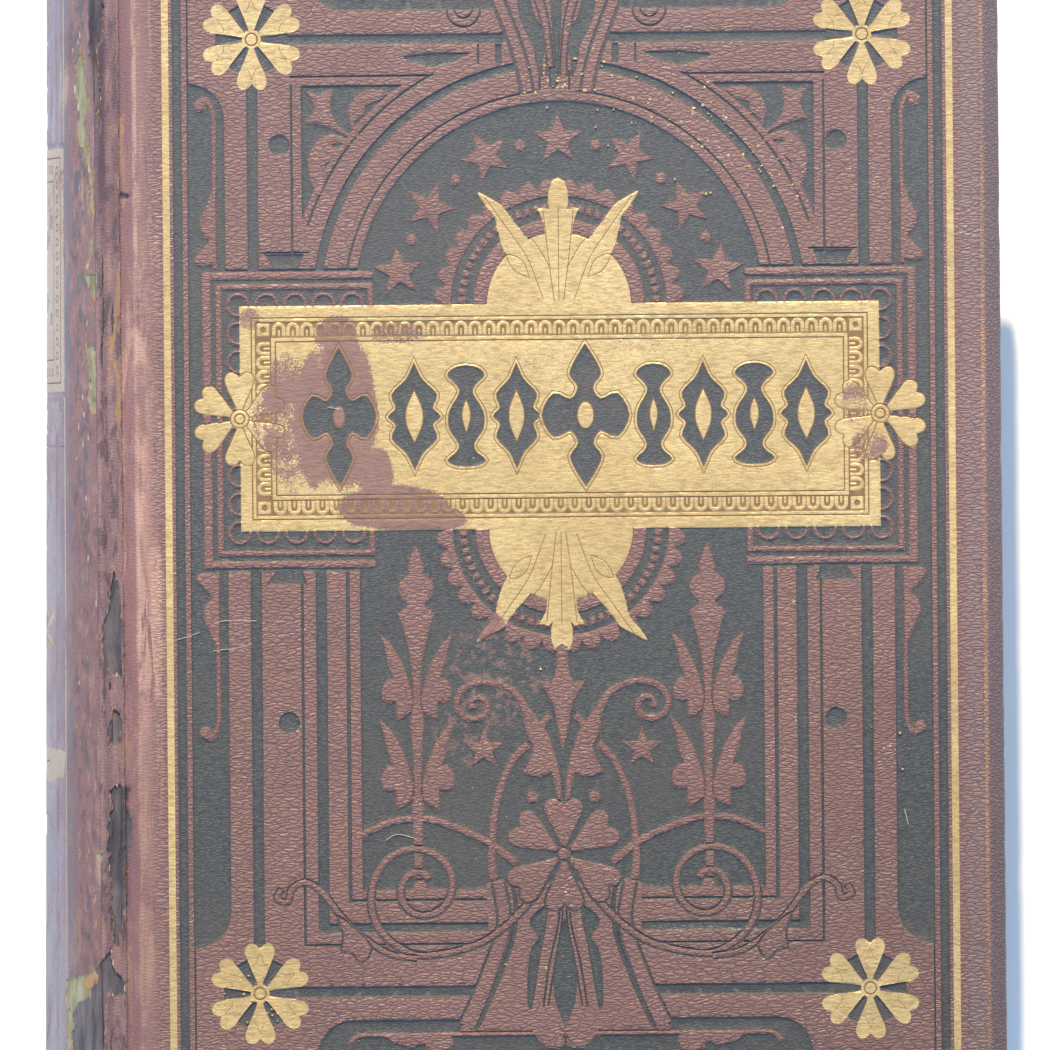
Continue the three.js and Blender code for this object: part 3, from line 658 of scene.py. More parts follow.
def cover_art(gold=True):
    """The blocked design of a cover about its middle."""
    art = Art()
    g = "gold" if gold else "red"

    # frames at the edge of the design
    art.add(g, box(102.1, 146.5), box(100.3, 144.7))
    art.add("dark", box(99.4, 143.8), box(97.0, 141.4))
    art.add("dark", box(95.7, 140.1), box(95.2, 139.6))

    # dark side panels with rounded inner corners, and head and tail panels
    for side in (1, -1):
        corner_top = [(side * (86.0 - 0.0 + 9.4 * (1 - math.cos(math.radians(a)))),
                       102.6 + 9.4 * math.sin(math.radians(a))) for a in range(0, 91, 15)]
        loop = corner_top + [(side * 95.7, 112.0), (side * 95.7, -111.5)]
        loop += [(x, -y + 0.5) for x, y in corner_top[::-1]]
        art.add("dark", loop)
        ends = [(side_v * 64.0, 0) for side_v in (1,)]
    for s in (1, -1):
        right = [(64.0 - 9.0 + 9.0 * math.sin(math.radians(a)), 130.2 + 9.6 * (1 - math.cos(math.radians(a))))
                 for a in range(0, 91, 15)]
        loop = right + [(-x, y) for x, y in right[::-1]]
        loop = [(x, s * y) for x, y in loop]
        art.add("dark", loop)

    # the long dark stripe that runs round under the corner rosettes
    art.add("dark", box(80.3, 124.4), box(77.4, 121.5))

    # ornament growing along the side panels, once above and once below the title block
    middle = 25.2
    stem = [(88.75, 64.0), (88.75, 86.0), (88.75, 98.0), (88.9, 104.0), (90.6, 107.6), (93.0, 106.9)]
    leaf_side = smooth([(88.2, 86.5), (89.4, 84.5), (91.0, 80.0), (92.6, 76.4), (92.0, 73.0), (90.2, 71.4),
                        (91.6, 69.6), (94.3, 66.2), (92.4, 64.8), (89.6, 65.2), (88.2, 66.0)], 3)
    hook = circle(92.2, 106.2, 1.7, 12)
    for shape in (ribbon(stem, [1.2, 1.1, 1.1, 1.2, 1.5, 1.2]), leaf_side, hook):
        art.add("red", shape, both=True)
        art.add("red", upside(shape, middle), both=True)
    # the same ornament lying along the head and tail panels
    for s in (1, -1):
        line = [(-56.0, s * 136.6), (-53.5, s * 134.5), (-46.0, s * 134.2), (0.0, s * 134.2)]
        art.add("red", ribbon(line, [1.5, 1.2, 1.2, 1.2]), both=True)
        lobes = smooth([(-47.5, 134.3), (-44.0, 136.4), (-40.0, 137.6), (-36.5, 136.6), (-35.6, 138.4),
                        (-31.0, 139.0), (-29.0, 136.6), (-29.4, 134.3)], 3)
        art.add("red", [(x, s * y) for x, y in lobes], both=True)

    # spandrel corners above the arch: thin line frame, dark field
    art.add("line", box(69.0, 90, 23.6), box(68.4, 89.4, 23.6))
    art.add("red", rect(-77.4, -70, 77.4, 60))
    art.add("dark", rect(-66.2, 60.0, 66.2, 111.2))

    # lower frames: nested lines and stripes down the sides and across the tail
    for hu, w, low in ((67.3, 0.7, -111.1), (63.5, 2.9, -107.7), (55.7, 1.0, -99.9)):
        outer = [(-hu, 20), (-hu, low), (hu, low), (hu, 20)]
        inner = [(-hu + w, 20), (-hu + w, low + w * 0.86), (hu - w, low + w * 0.86), (hu - w, 20)]
        art.add("dark" if w > 2 else "line", outer + inner[::-1])
    art.add("dark", rect(-52.1, -96.8, 52.1, 20))

    # arch: rings painted from outside in
    cv = 53.8
    art.add("red", band(0, cv, 0.5, 70.0, 8, 172, 80))
    art.add("dark", band(0, cv, 61.4, 63.8, 6, 174, 80))
    art.add("line", band(0, cv, 55.2, 55.8, 6, 174, 72))
    art.add("dark", arc(0, cv, 53.0, -8, 188, 72))
    art.add("red", rect(-77.4, 111.4, 77.4, 113.2), )
    art.add("red", rect(-77.4, 113.2, -30.0, 121.5), both=True)
    art.add("line", rect(-69.0, 113.2, -33.0, 113.75), both=True)
    art.add("red", band(0, cv, 63.8, 67.8, 20, 160, 60))
    art.add("line", band(0, cv, 67.7, 68.4, 18, 62, 40), both=True)
    art.add("dark", band(0, cv, 61.4, 63.8, 6, 174, 80))
    art.add("dark", box(77.4, 0.0 + 1.45, 122.95))
    art.add("dark", [(-22, 119.3), (-31, 119.6), (-40, 118.7), (-38.5, 117.2), (-32, 115.4), (-27, 116.5)],
            both=True)

    # small upright cuts either side of the apex
    for a, b in ((-20.6, -20.0), (-15.9, -14.2), (-11.2, -10.6)):
        art.add("line", [(a, 116.3), (b, 116.6), (b, 121.5), (a, 121.5)], both=True)

    # bud and curled leaves in the spandrels
    bud = smooth([(-65.0, 110.2), (-61.6, 108.4), (-58.0, 110.4), (-58.6, 106.2), (-57.4, 101.8), (-53.6, 98.0),
                  (-50.6, 95.6), (-54.6, 98.0), (-58.8, 100.2), (-61.8, 101.2), (-65.0, 101.6), (-62.6, 105.6)],
                 2, True)
    art.add("red", bud, both=True)
    leaf_up = smooth([(-51.0, 95.4), (-53.0, 99.6), (-54.0, 104.0), (-52.2, 108.2), (-48.0, 110.0), (-43.6, 109.6),
                      (-45.6, 107.2), (-49.4, 106.0), (-49.6, 103.6), (-52.4, 101.6), (-51.4, 98.6)], 2, True)
    art.add("red", leaf_up, both=True)
    leaf_down = smooth([(-52.0, 94.6), (-55.6, 97.8), (-59.6, 98.4), (-63.2, 95.6), (-64.6, 91.0), (-63.6, 86.0),
                        (-61.6, 82.4), (-60.2, 85.6), (-60.0, 90.6), (-57.4, 92.2), (-56.6, 94.4), (-58.4, 96.0),
                        (-55.2, 96.0)], 2, True)
    art.add("red", leaf_down, both=True)

    # dark studs and wedges in the wide bands
    art.add("dark", circle(-71.9, 95.9, 2.8, 20), both=True)
    art.add("dark", circle(-70.6, -53.3, 2.8, 20), both=True)
    wedge = [(-76.2, 67.8), (-65.6, 67.8), (-67.2, 64.0), (-73.4, 64.0)]
    art.add("line", [(-77.2, 68.3), (-64.4, 68.3), (-64.4, 67.8), (-77.2, 67.8)], both=True)
    art.add("dark", wedge, both=True)
    art.add("dark", upside(wedge, middle), both=True)

    # stars and dots round the arch
    for u, v in ((0.0, 96.7), (-18.6, 92.5), (-33.0, 79.4), (-41.3, 62.8)):
        turn = math.degrees(math.atan2(-u, v - cv))
        art.add("red", star(u, v, 6.9, turn), both=u != 0.0)
    for u, v in ((-9.7, 95.1), (-26.5, 86.4), (-38.0, 71.1)):
        art.add("red", circle(u, v, 1.45, 12), both=True)

    # ribbons springing from the apex of the arch
    for rim, width in ((0.75, 2.6),):
        path = [(-7.6, 108.6), (-8.6, 114.0), (-10.6, 121.0), (-14.8, 132.0), (-17.0, 137.0)]
        art.add("red", [(-8.5, 108.8), (8.5, 108.8), (12.0, 121.0), (18.0, 136.6), (-18.0, 136.6), (-12.0, 121.0)])
        art.stroke("red", path, width, both=True, rim=rim)
    art.stroke("dark", [(-3.9, 112.5), (-4.6, 117.5), (-4.3, 122.0), (-7.6, 128.5), (-8.6, 136.0)],
               [0.5, 2.0, 4.6, 3.8, 3.4], both=True)
    art.stroke("red", [(-1.7, 110.2), (-1.9, 118.0), (-3.0, 127.0), (-5.6, 137.0)], [1.4, 1.3, 1.7, 2.2], both=True,
               rim=0.4)
    art.stroke("dark", [(0.0, 109.6), (0.0, 118.0), (0.0, 128.0), (0.0, 138.0)], [0.7, 1.4, 2.6, 3.4])
    art.stroke("red", [(0.0, 109.0), (0.0, 113.0)], [9.5, 8.0])
    art.stroke("dark", [(-0.8, 109.6), (-0.8, 115.5)], [2.2, 2.6])
    for a in (-4.5, 3.2):
        art.stroke("line", [(a, 109.4), (a, 114.4)], 0.5)
    # curls on the head band
    art.add("line", circle(-24.0, 130.2, 4.6, 24), circle(-24.0, 130.2, 4.0, 24), both=True)
    art.add("line", circle(-24.0, 130.6, 2.6, 18), circle(-24.0, 130.6, 2.1, 18), both=True)

    # title block: double line frames with chains of rings behind the panel ends
    art.add("dark", rect(-93.2, -14.4, -47.2, 64.0), both=True)
    for loop in (rect(-92.2, 61.2, -48.0, 63.1), rect(-92.2, -13.4, -89.9, 63.1), rect(-92.2, -13.4, -48.0, -11.5),
                 rect(-88.7, 58.6, -48.0, 60.0), rect(-88.7, -10.2, -87.1, 60.0), rect(-88.7, -10.2, -48.0, -8.8),
                 rect(-49.5, -10.2, -48.0, 60.0)):
        art.add("red", loop, both=True)
    ring_r, ring_w = 3.15, 0.85
    for k in range(9):
        v = -4.2 + k * 7.35
        art.add("red", circle(-82.9, v, ring_r, 18), circle(-82.9, v, ring_r - ring_w, 16), both=True)
    for k in range(1, 5):
        for v in (54.6, -4.2):
            art.add("red", circle(-82.9 + k * 7.35, v, ring_r, 18), circle(-82.9 + k * 7.35, v, ring_r - ring_w, 16),
                    both=True)

    # medallions above and below the panel
    for vc, a0 in ((54.1, 0), (-3.7, 180)):
        lobes = []
        n_lobe = 36
        for i in range(n_lobe * 6):
            a = 2 * math.pi * i / (n_lobe * 6)
            r = 29.7 + 2.6 * abs(math.sin(a * n_lobe / 2)) ** 0.7
            lobes.append((r * math.cos(a), vc + r * math.sin(a)))
        art.add("red", lobes, circle(0, vc, 27.8, 90))
        art.add("dark", circle(0, vc, 27.8, 90), circle(0, vc, 22.2, 80))
        n_bead = 68
        for i in range(n_bead):
            a = 360 / n_bead * (i + 0.5)
            up = math.sin(math.radians(a)) * (1 if a0 == 0 else -1)
            if up > -0.05:
                art.add("red", band(0, vc, 24.3, 26.1, a - 1.9, a + 1.9, 3))
        art.add("red", circle(0, vc, 22.2, 80), circle(0, vc, 18.6, 70))
        art.add(g, circle(0, vc, 18.6, 70))

    # gold fleur and leaves on each medallion
    fleur = [(0.0, 86.9), (1.5, 86.0), (2.5, 83.4), (2.7, 80.6), (2.3, 78.6), (3.6, 79.2), (5.5, 78.8), (4.8, 77.6),
             (3.7, 75.0), (3.4, 70.0), (3.0, 60.0)]
    fleur = fleur + [(-u, v) for u, v in fleur[::-1][:-1]]
    leaf = smooth([(-20.8, 83.2), (-18.6, 79.6), (-16.5, 77.0), (-15.6, 73.0), (-13.8, 67.6), (-9.2, 62.0),
                   (-5.0, 60.0), (-6.2, 68.2), (-8.9, 72.4), (-11.5, 75.6), (-14.4, 79.6), (-18.0, 81.9)], 3, True)
    palm = [
        ([(-1.2, 55.0), (-2.6, 66.0), (-3.9, 78.4)], 0.2), ([(0.0, 55.0), (0.0, 70.0), (0.0, 79.0)], 0.2),
        ([(-4.0, 55.5), (-8.0, 66.0), (-13.0, 73.5), (-19.0, 82.0)], 0.2),
        ([(-7.5, 61.0), (-11.5, 63.0), (-13.4, 67.0), (-9.4, 65.6), (-7.5, 61.0)], 0.2),
        ([(-2.4, 64.0), (-6.0, 70.0), (-9.0, 72.2)], 0.2),
    ]
    for flip in (False, True):
        turn_over = (lambda p: upside(p, 25.2)) if flip else (lambda p: p)
        wide = 1.06 if flip else 1.0
        for shape in (leaf, mirror(leaf), fleur):
            art.add(g, [(u * wide, v) for u, v in turn_over(shape)])
        for path, w in palm:
            art.stroke("trace", turn_over(path), w, both=True, steps=4)

    # the gold panel with its engraved border
    lo, hi = -3.9, 54.3
    art.add(g, rect(-82.6, lo, 82.6, hi))
    art.add("trace", rect(-78.6, lo + 4.0, 78.6, hi - 4.0), rect(-74.4, lo + 8.2, 74.4, hi - 8.2))
    for d in (2.9, 9.1):
        art.add("trace", rect(-82.6 + d, lo + d, 82.6 - d, hi - d),
                rect(-82.6 + d + 0.35, lo + d + 0.35, 82.6 - d - 0.35, hi - d - 0.35))
    for side in (1, -1):
        for v in (lo + 6.1, hi - 6.1):
            art.add(g, [(side * 76.5 + x, v + y) for x, y in box(1.6, 1.6)])
            art.add("trace", [(side * 76.5 + x, v + y) for x, y in circle(0, 0, 0.8, 12)])
    egg = [(-1.25, 0.3), (-1.25, 2.3), (-0.8, 3.1), (0.0, 3.4), (0.8, 3.1), (1.25, 2.3), (1.25, 0.3)]
    tongue = [(0.0, 0.3), (0.0, 1.9)]
    for k in range(-20, 21):
        for at, turn in (((k * 3.62, hi - 8.1), 0), ((k * 3.62, lo + 8.1), 180)):
            art.add(g, ribbon(move(egg, at, turn), 0.95, 2))
            art.add(g, ribbon(move(tongue, at, turn), 0.55, 1))
    for k in range(-5, 6):
        for side in (1, -1):
            at = (side * (82.6 - 8.1), 25.2 + k * 3.62)
            art.add(g, ribbon(move(egg, at, -90 * side), 0.95, 2))
            art.add(g, ribbon(move(tongue, at, -90 * side), 0.55, 1))

    # figures across the panel: plain ornaments, none of them a letter
    def figure(shape_list, at, scale_u, scale_v):
        placed = [[(at + x * scale_u, 25.4 + y * scale_v) for x, y in s] for s in shape_list]
        art.add("trace", grow(placed[0], 0.95))
        art.add(g, grow(placed[0], 0.72))
        art.add("trace", grow(placed[0], 0.22))
        art.add("dark", placed[0])
        for hole in placed[1:]:
            art.add("trace", hole)
            art.add(g, grow(hole, -0.25))
    spire = smooth([(0, 1.0), (0.22, 0.78), (0.34, 0.58), (0.16, 0.40), (0.34, 0.22), (0.72, 0.30), (0.98, 0.0),
                    (0.72, -0.30), (0.34, -0.22), (0.16, -0.40), (0.34, -0.58), (0.22, -0.78), (0, -1.0)], 3)
    spire = spire + [(-x, y) for x, y in spire[1:-1][::-1]]
    lozenge = smooth([(0, 1.0), (0.30, 0.70), (0.86, 0.42), (0.70, 0.16), (1.0, 0.0), (0.70, -0.16), (0.86, -0.42),
                      (0.30, -0.70), (0, -1.0)], 3)
    lozenge = lozenge + [(-x, y) for x, y in lozenge[1:-1][::-1]]
    hollow = smooth([(0, 0.52), (0.30, 0.20), (0.36, 0.0), (0.30, -0.20), (0, -0.52)], 3)
    hollow = hollow + [(-x, y) for x, y in hollow[1:-1][::-1]]
    vase = smooth([(0, 0.98), (0.52, 0.94), (0.86, 0.80), (0.44, 0.62), (0.30, 0.44), (0.78, 0.10), (0.80, -0.24),
                   (0.36, -0.52), (0.44, -0.70), (0.88, -0.86), (0.52, -0.96), (0, -0.98)], 3)
    vase = vase + [(-x, y) for x, y in vase[1:-1][::-1]]
    heart = smooth([(0, 0.34), (0.18, 0.16), (0.22, -0.06), (0, -0.34)], 2)
    heart = heart + [(-x, y) for x, y in heart[1:-1][::-1]]
    figure([spire, move(circle(0, 0, 0.17, 14))], -57.0, 9.6, 17.6)
    figure([lozenge, hollow], -37.6, 6.6, 13.6)
    figure([vase, heart], -24.2, 5.4, 13.2)
    figure([lozenge, hollow], -11.2, 5.9, 13.4)
    figure([spire, circle(0, 0, 0.2, 14)], 6.6, 11.4, 18.2)
    figure([vase, heart], 24.2, 5.0, 13.2)
    figure([lozenge, hollow], 37.0, 6.2, 13.4)
    figure([vase, heart], 50.2, 5.6, 13.2)
    figure([lozenge, hollow], 63.6, 6.4, 13.4)

    # rosettes at the ends of the panel and at the four corners
    for side in (1, -1):
        if gold:
            for i in range(6):
                outward = move(petal(11.9, 7.2), (side * 82.7, 25.2), i * 60)
                art.add("trace", grow(outward, 0.25))
                art.add("gold", outward)
            art.add("trace", circle(side * 82.7, 25.2, 2.6, 18))
            art.add("gold", circle(side * 82.7, 25.2, 2.3, 18))
            art.add("trace", circle(side * 82.7, 25.2, 1.5, 16), circle(side * 82.7, 25.2, 1.1, 14))
        for v in (123.2, -123.2):
            rosette(art, side * 78.8, v, kind=g, ring=True)

    # lower field: bud stems with paired leaves
    u0 = -37.6
    bud = [(0.0, -7.8), (1.0, -10.0), (2.2, -13.9), (1.8, -14.8), (1.9, -15.3), (4.1, -16.9), (4.7, -18.9),
           (4.0, -21.2), (2.2, -22.9), (2.4, -23.6), (4.8, -25.3), (3.9, -27.6), (2.9, -31.5), (1.9, -35.5),
           (1.3, -40.0), (1.0, -47.5), (1.5, -51.0), (1.9, -53.5), (1.5, -57.0), (1.2, -62.0), (1.0, -72.0),
           (1.6, -75.5), (1.3, -80.0), (1.2, -94.0)]
    bud = [(u0 + x, y) for x, y in bud] + [(u0 - x, y) for x, y in bud[::-1][:-1]]
    tip_side = [(-9.5, -30.3), (-8.2, -34.5), (-7.5, -38.4), (-6.1, -42.1)]
    lobe = smooth([(-6.1, -42.1), (-8.0, -42.8), (-9.1, -45.2), (-8.7, -47.6), (-7.0, -48.6), (-5.4, -48.2)], 3)
    tooth = [(-5.4, -50.6), (-5.3, -53.0), (-3.2, -52.1), (-1.2, -50.6)]
    inner = [(-0.9, -47.4), (-2.2, -42.3), (-3.9, -37.7), (-6.4, -33.4)]
    leaf = tip_side[:-1] + lobe + tooth + inner
    # wide bowed stems behind
    art.stroke("red", [(-52.2, -82.6), (-46.0, -79.6), (-39.8, -78.5), (-33.0, -79.0), (-20.6, -84.0), (-12.4, -90.0)],
               [1.7, 1.7, 1.7, 1.7, 1.8, 2.2], both=True)
    art.stroke("red", [(-9.0, -59.4), (-12.4, -62.6), (-15.6, -68.8), (-17.8, -77.0), (-18.7, -88.0), (-18.2, -94.6)],
               [2.2, 1.8, 1.7, 1.7, 1.9, 2.2], both=True)
    art.add("red", bud, both=True)
    for dv, big in ((0.0, 1.0), (-22.9, 1.05)):
        part = [(x * big, -51.0 + (y + 51.0) * big + dv) for x, y in leaf]
        art.add("red", [(u0 + x, y) for x, y in part], both=True)
        art.add("red", [(u0 - x, y) for x, y in part], both=True)
    art.add("red", star(-20.4, -60.6, 5.6, 0), both=True)
    art.add("red", circle(-8.0, -73.1, 1.5, 12), both=True)

    # curls either side of the tulip
    curl = [(-8.4, -52.8), (-11.8, -46.5), (-16.6, -43.8), (-21.8, -43.3), (-26.0, -45.5), (-27.3, -49.3),
            (-24.9, -52.5), (-21.2, -52.5), (-19.3, -49.8), (-21.2, -47.3), (-23.6, -48.3), (-23.3, -50.3)]
    art.stroke("red", curl, [2.2, 1.8, 1.6, 1.6, 1.6, 1.6, 1.6, 1.6, 1.5, 1.5, 1.5, 1.9], both=True)
    inner_leaf = [(-9.7, -51.0), (-10.0, -53.9), (-9.3, -56.9), (-7.9, -59.6), (-7.9, -61.4), (-9.1, -64.2),
                  (-10.5, -66.9), (-7.9, -67.7), (-5.4, -67.9), (-3.1, -66.9), (-2.3, -69.6), (-1.7, -74.0),
                  (-0.3, -74.0), (-0.7, -68.4), (-1.9, -62.4), (-3.9, -56.4), (-6.4, -53.0), (-8.1, -50.3)]
    art.add("red", inner_leaf, both=True)
    art.stroke("red", [(-5.9, -55.1), (-3.3, -51.9)], 1.7, both=True)
    tulip = [(0.0, -33.4), (1.7, -34.6), (1.5, -38.6), (2.0, -41.7), (2.9, -43.7), (6.2, -42.7), (4.2, -46.0),
             (2.5, -49.0), (1.9, -52.5), (1.0, -57.5), (0.1, -61.8)]
    art.add("red", tulip + [(-x, y) for x, y in tulip[::-1][:-1]])

    # tail: broad red ribbons with dark edges crossing the bands
    art.add("red", [(-20.2, -95.4), (20.2, -95.4), (19.8, -110.0), (23.0, -121.0), (27.4, -133.6), (-27.4, -133.6),
                    (-23.0, -121.0), (-19.8, -110.0)])
    art.stroke("red", [(-17.2, -94.4), (-15.7, -103.0), (-16.2, -109.0), (-18.8, -116.4), (-21.4, -123.4),
                       (-25.4, -132.4)], [2.8, 2.9, 3.1, 3.3, 3.6, 4.2], both=True, rim=0.65)
    art.stroke("dark", [(-14.4, -93.0), (-12.6, -100.0), (-13.3, -109.0), (-16.2, -117.4), (-19.2, -124.6),
                        (-22.8, -132.6)], [1.0, 1.2, 1.3, 1.3, 1.3, 1.2], both=True)
    cusp = smooth([(-4.6, -101.0), (-9.0, -104.4), (-8.4, -107.2), (-6.7, -109.4), (-8.6, -111.8), (-9.6, -117.0),
                   (-9.8, -126.8), (-8.4, -126.8), (-6.8, -117.0), (-5.2, -108.0)], 2, True)
    art.add("dark", cusp, both=True)
    art.stroke("line", [(-3.8, -97.4), (-4.9, -105.6), (-7.0, -116.0), (-9.0, -128.0)], 0.55, both=True)
    art.stroke("line", [(-1.4, -97.4), (-1.6, -105.6), (-4.0, -116.0), (-5.8, -128.0)], 0.55, both=True)
    art.stroke("line", [(-0.5, -97.4), (-0.7, -105.6), (-2.6, -116.0), (-4.4, -127.0)], 0.45, both=True)
    art.add("dark", [(0.0, -104.0), (2.4, -114.0), (3.2, -120.0), (2.6, -126.0), (0.0, -133.0), (-2.6, -126.0),
                     (-3.2, -120.0), (-2.4, -114.0)])
    art.add("red", smooth([(-9.2, -128.4), (-5.0, -127.4), (-2.6, -131.0), (0.0, -137.0), (-4.6, -138.0),
                           (-8.6, -133.6)], 2, True), both=True)

    # spiral tendrils that sweep out of the flower and wind in at the foot of each bud stem
    cu, cv2 = -37.2, -96.3
    turns = [(90, 4.0), (180, 4.8), (270, 7.2), (360, 8.3), (450, 9.9), (540, 12.3), (585, 15.0), (646, 18.3)]
    spiral = []
    for a in range(40, 647, 22):
        r = np.interp(a, [t[0] for t in turns], [t[1] for t in turns])
        if a < 90:
            r = 3.2 + 0.8 * (a - 40) / 50
        spiral.append((cu + r * math.cos(math.radians(a)), cv2 + r * math.sin(math.radians(a))))
    spiral += [(-23.4, -111.4), (-15.2, -106.4), (-8.6, -99.6), (-3.2, -91.6)]
    art.stroke("red", spiral, [1.6] * len(spiral), both=True, rim=0.42, steps=4)
    art.add("red", circle(cu, cv2, 1.9, 14), both=True)

    # small curls at the corners of the lower frame
    tail_curl = [(-73.0, -96.2), (-74.2, -98.8), (-71.4, -99.6), (-70.4, -96.4), (-66.8, -94.6), (-62.4, -97.4),
                 (-57.6, -103.6), (-51.6, -109.4), (-45.0, -113.4), (-38.0, -114.6)]
    art.stroke("red", tail_curl, [1.5] * len(tail_curl), both=True, rim=0.35)
    art.add("line", grow(smooth([(-58.6, -103.4), (-54.0, -107.0), (-49.8, -111.8), (-52.6, -115.6), (-54.8, -113.0),
                                 (-57.6, -112.6), (-57.0, -108.6)], 2, True), 0.4), both=True)
    art.add("red", smooth([(-58.6, -103.4), (-54.0, -107.0), (-49.8, -111.8), (-52.6, -115.6), (-54.8, -113.0),
                           (-57.6, -112.6), (-57.0, -108.6)], 2, True), both=True)

    # the flower at the foot of the field
    for a, length in ((0, 14.2), (58, 14.8), (127, 15.8), (180, 14.6), (233, 15.8), (302, 14.8)):
        shape = move(petal(length, 9.6), (0, -87.9), a)
        art.add("line", grow(shape, 0.4))
        art.add("red", shape)
    art.add("line", circle(0, -87.9, 2.2, 16))
    art.add("red", circle(0, -87.9, 1.6, 14))
    if gold:
        # flecks of old paint and a few scratches
        r = np.random.default_rng(77)
        for cu3, cv3, spread, count in ((3, 112, 7, 34), (24, 108, 11, 46), (42, 95, 8, 34), (52, 84, 6, 22),
                                        (-84, -123, 6, 46), (-72, -131, 9, 26), (86, -60, 8, 8), (40, -40, 36, 12),
                                        (0, -112, 14, 7)):
            for _ in range(count):
                cx, cy = cu3 + r.normal(0, spread), cv3 + r.normal(0, spread * 0.6)
                if abs(cx) < 106 and abs(cy) < 150:
                    size, n = r.uniform(0.12, 0.5), int(r.integers(4, 7))
                    art.add("fleck", [(cx + size * r.uniform(0.6, 1.3) * math.cos(2 * math.pi * i / n),
                                       cy + size * r.uniform(0.5, 1.0) * math.sin(2 * math.pi * i / n))
                                      for i in range(n)])
        for path in ([(-101.0, -32.0), (-97.0, -31.0), (-93.6, -29.8)], [(-90.0, -34.6), (-85.0, -34.0), (-80.0, -32.8)],
                     [(-89.5, -27.2), (-84.0, -26.6), (-79.0, -27.0)], [(-60.0, 28.0), (-57.0, 27.6)],
                     [(88.0, -77.0), (89.0, -81.0)], [(-46.0, -84.0), (-43.0, -82.4), (-38.0, -83.6)]):
            art.stroke("nick", path, 0.22, steps=3)
    return art


# ---------------------------------------------------------------- relief mesh from the outlines
HEIGHTS = {"red": 0.0, "fleck": 0.04, "dark": -0.42, "line": -0.34, "gold": -0.10, "trace": -0.26, "nick": -0.12,
           "tear": -0.62, "pale": -0.45, "fray": -0.16}
SOFT = {"red": 0.34, "fleck": 0.07, "dark": 0.30, "line": 0.16, "gold": 0.22, "trace": 0.10, "nick": 0.08,
        "tear": 0.24, "pale": 0.22, "fray": 0.2}
KIND_SLOT = {"red": 0, "fleck": 2, "dark": 1, "line": 1, "gold": 2, "trace": 3, "nick": 4, "tear": 5, "pale": 6, "fray": 7}


def fill_in(points, step):
    """The closed outline with extra points so that no side is longer than the step."""
    out = []
    for (a, b), (c, d) in zip(points, points[1:] + points[:1]):
        n = max(1, int(math.ceil(math.hypot(c - a, d - b) / step)))
        out += [(a + (c - a) * i / n, b + (d - b) * i / n) for i in range(n)]
    return out


def inside(px, py, loops):
    hit = np.zeros(len(px), bool)
    for loop in loops:
        x, y = loop[:, 0], loop[:, 1]
        x2, y2 = np.roll(x, -1), np.roll(y, -1)
        for a, b, c, d in zip(x, y, x2, y2):
            if b == d:
                continue
            cross = (b > py) != (d > py)
            hit ^= cross & (px < (c - a) * (py - b) / (d - b) + a)
    return hit


def distance_to(px, py, loops):
    best = np.full(len(px), 1e9)
    for loop in loops:
        a = loop
        b = np.roll(loop, -1, 0)
        for (ax, ay), (bx, by) in zip(a, b):
            dx, dy = bx - ax, by - ay
            t = np.clip(((px - ax) * dx + (py - ay) * dy) / max(dx * dx + dy * dy, 1e-12), 0, 1)
            best = np.minimum(best, (px - ax - t * dx) ** 2 + (py - ay - t * dy) ** 2)
    return np.sqrt(best)


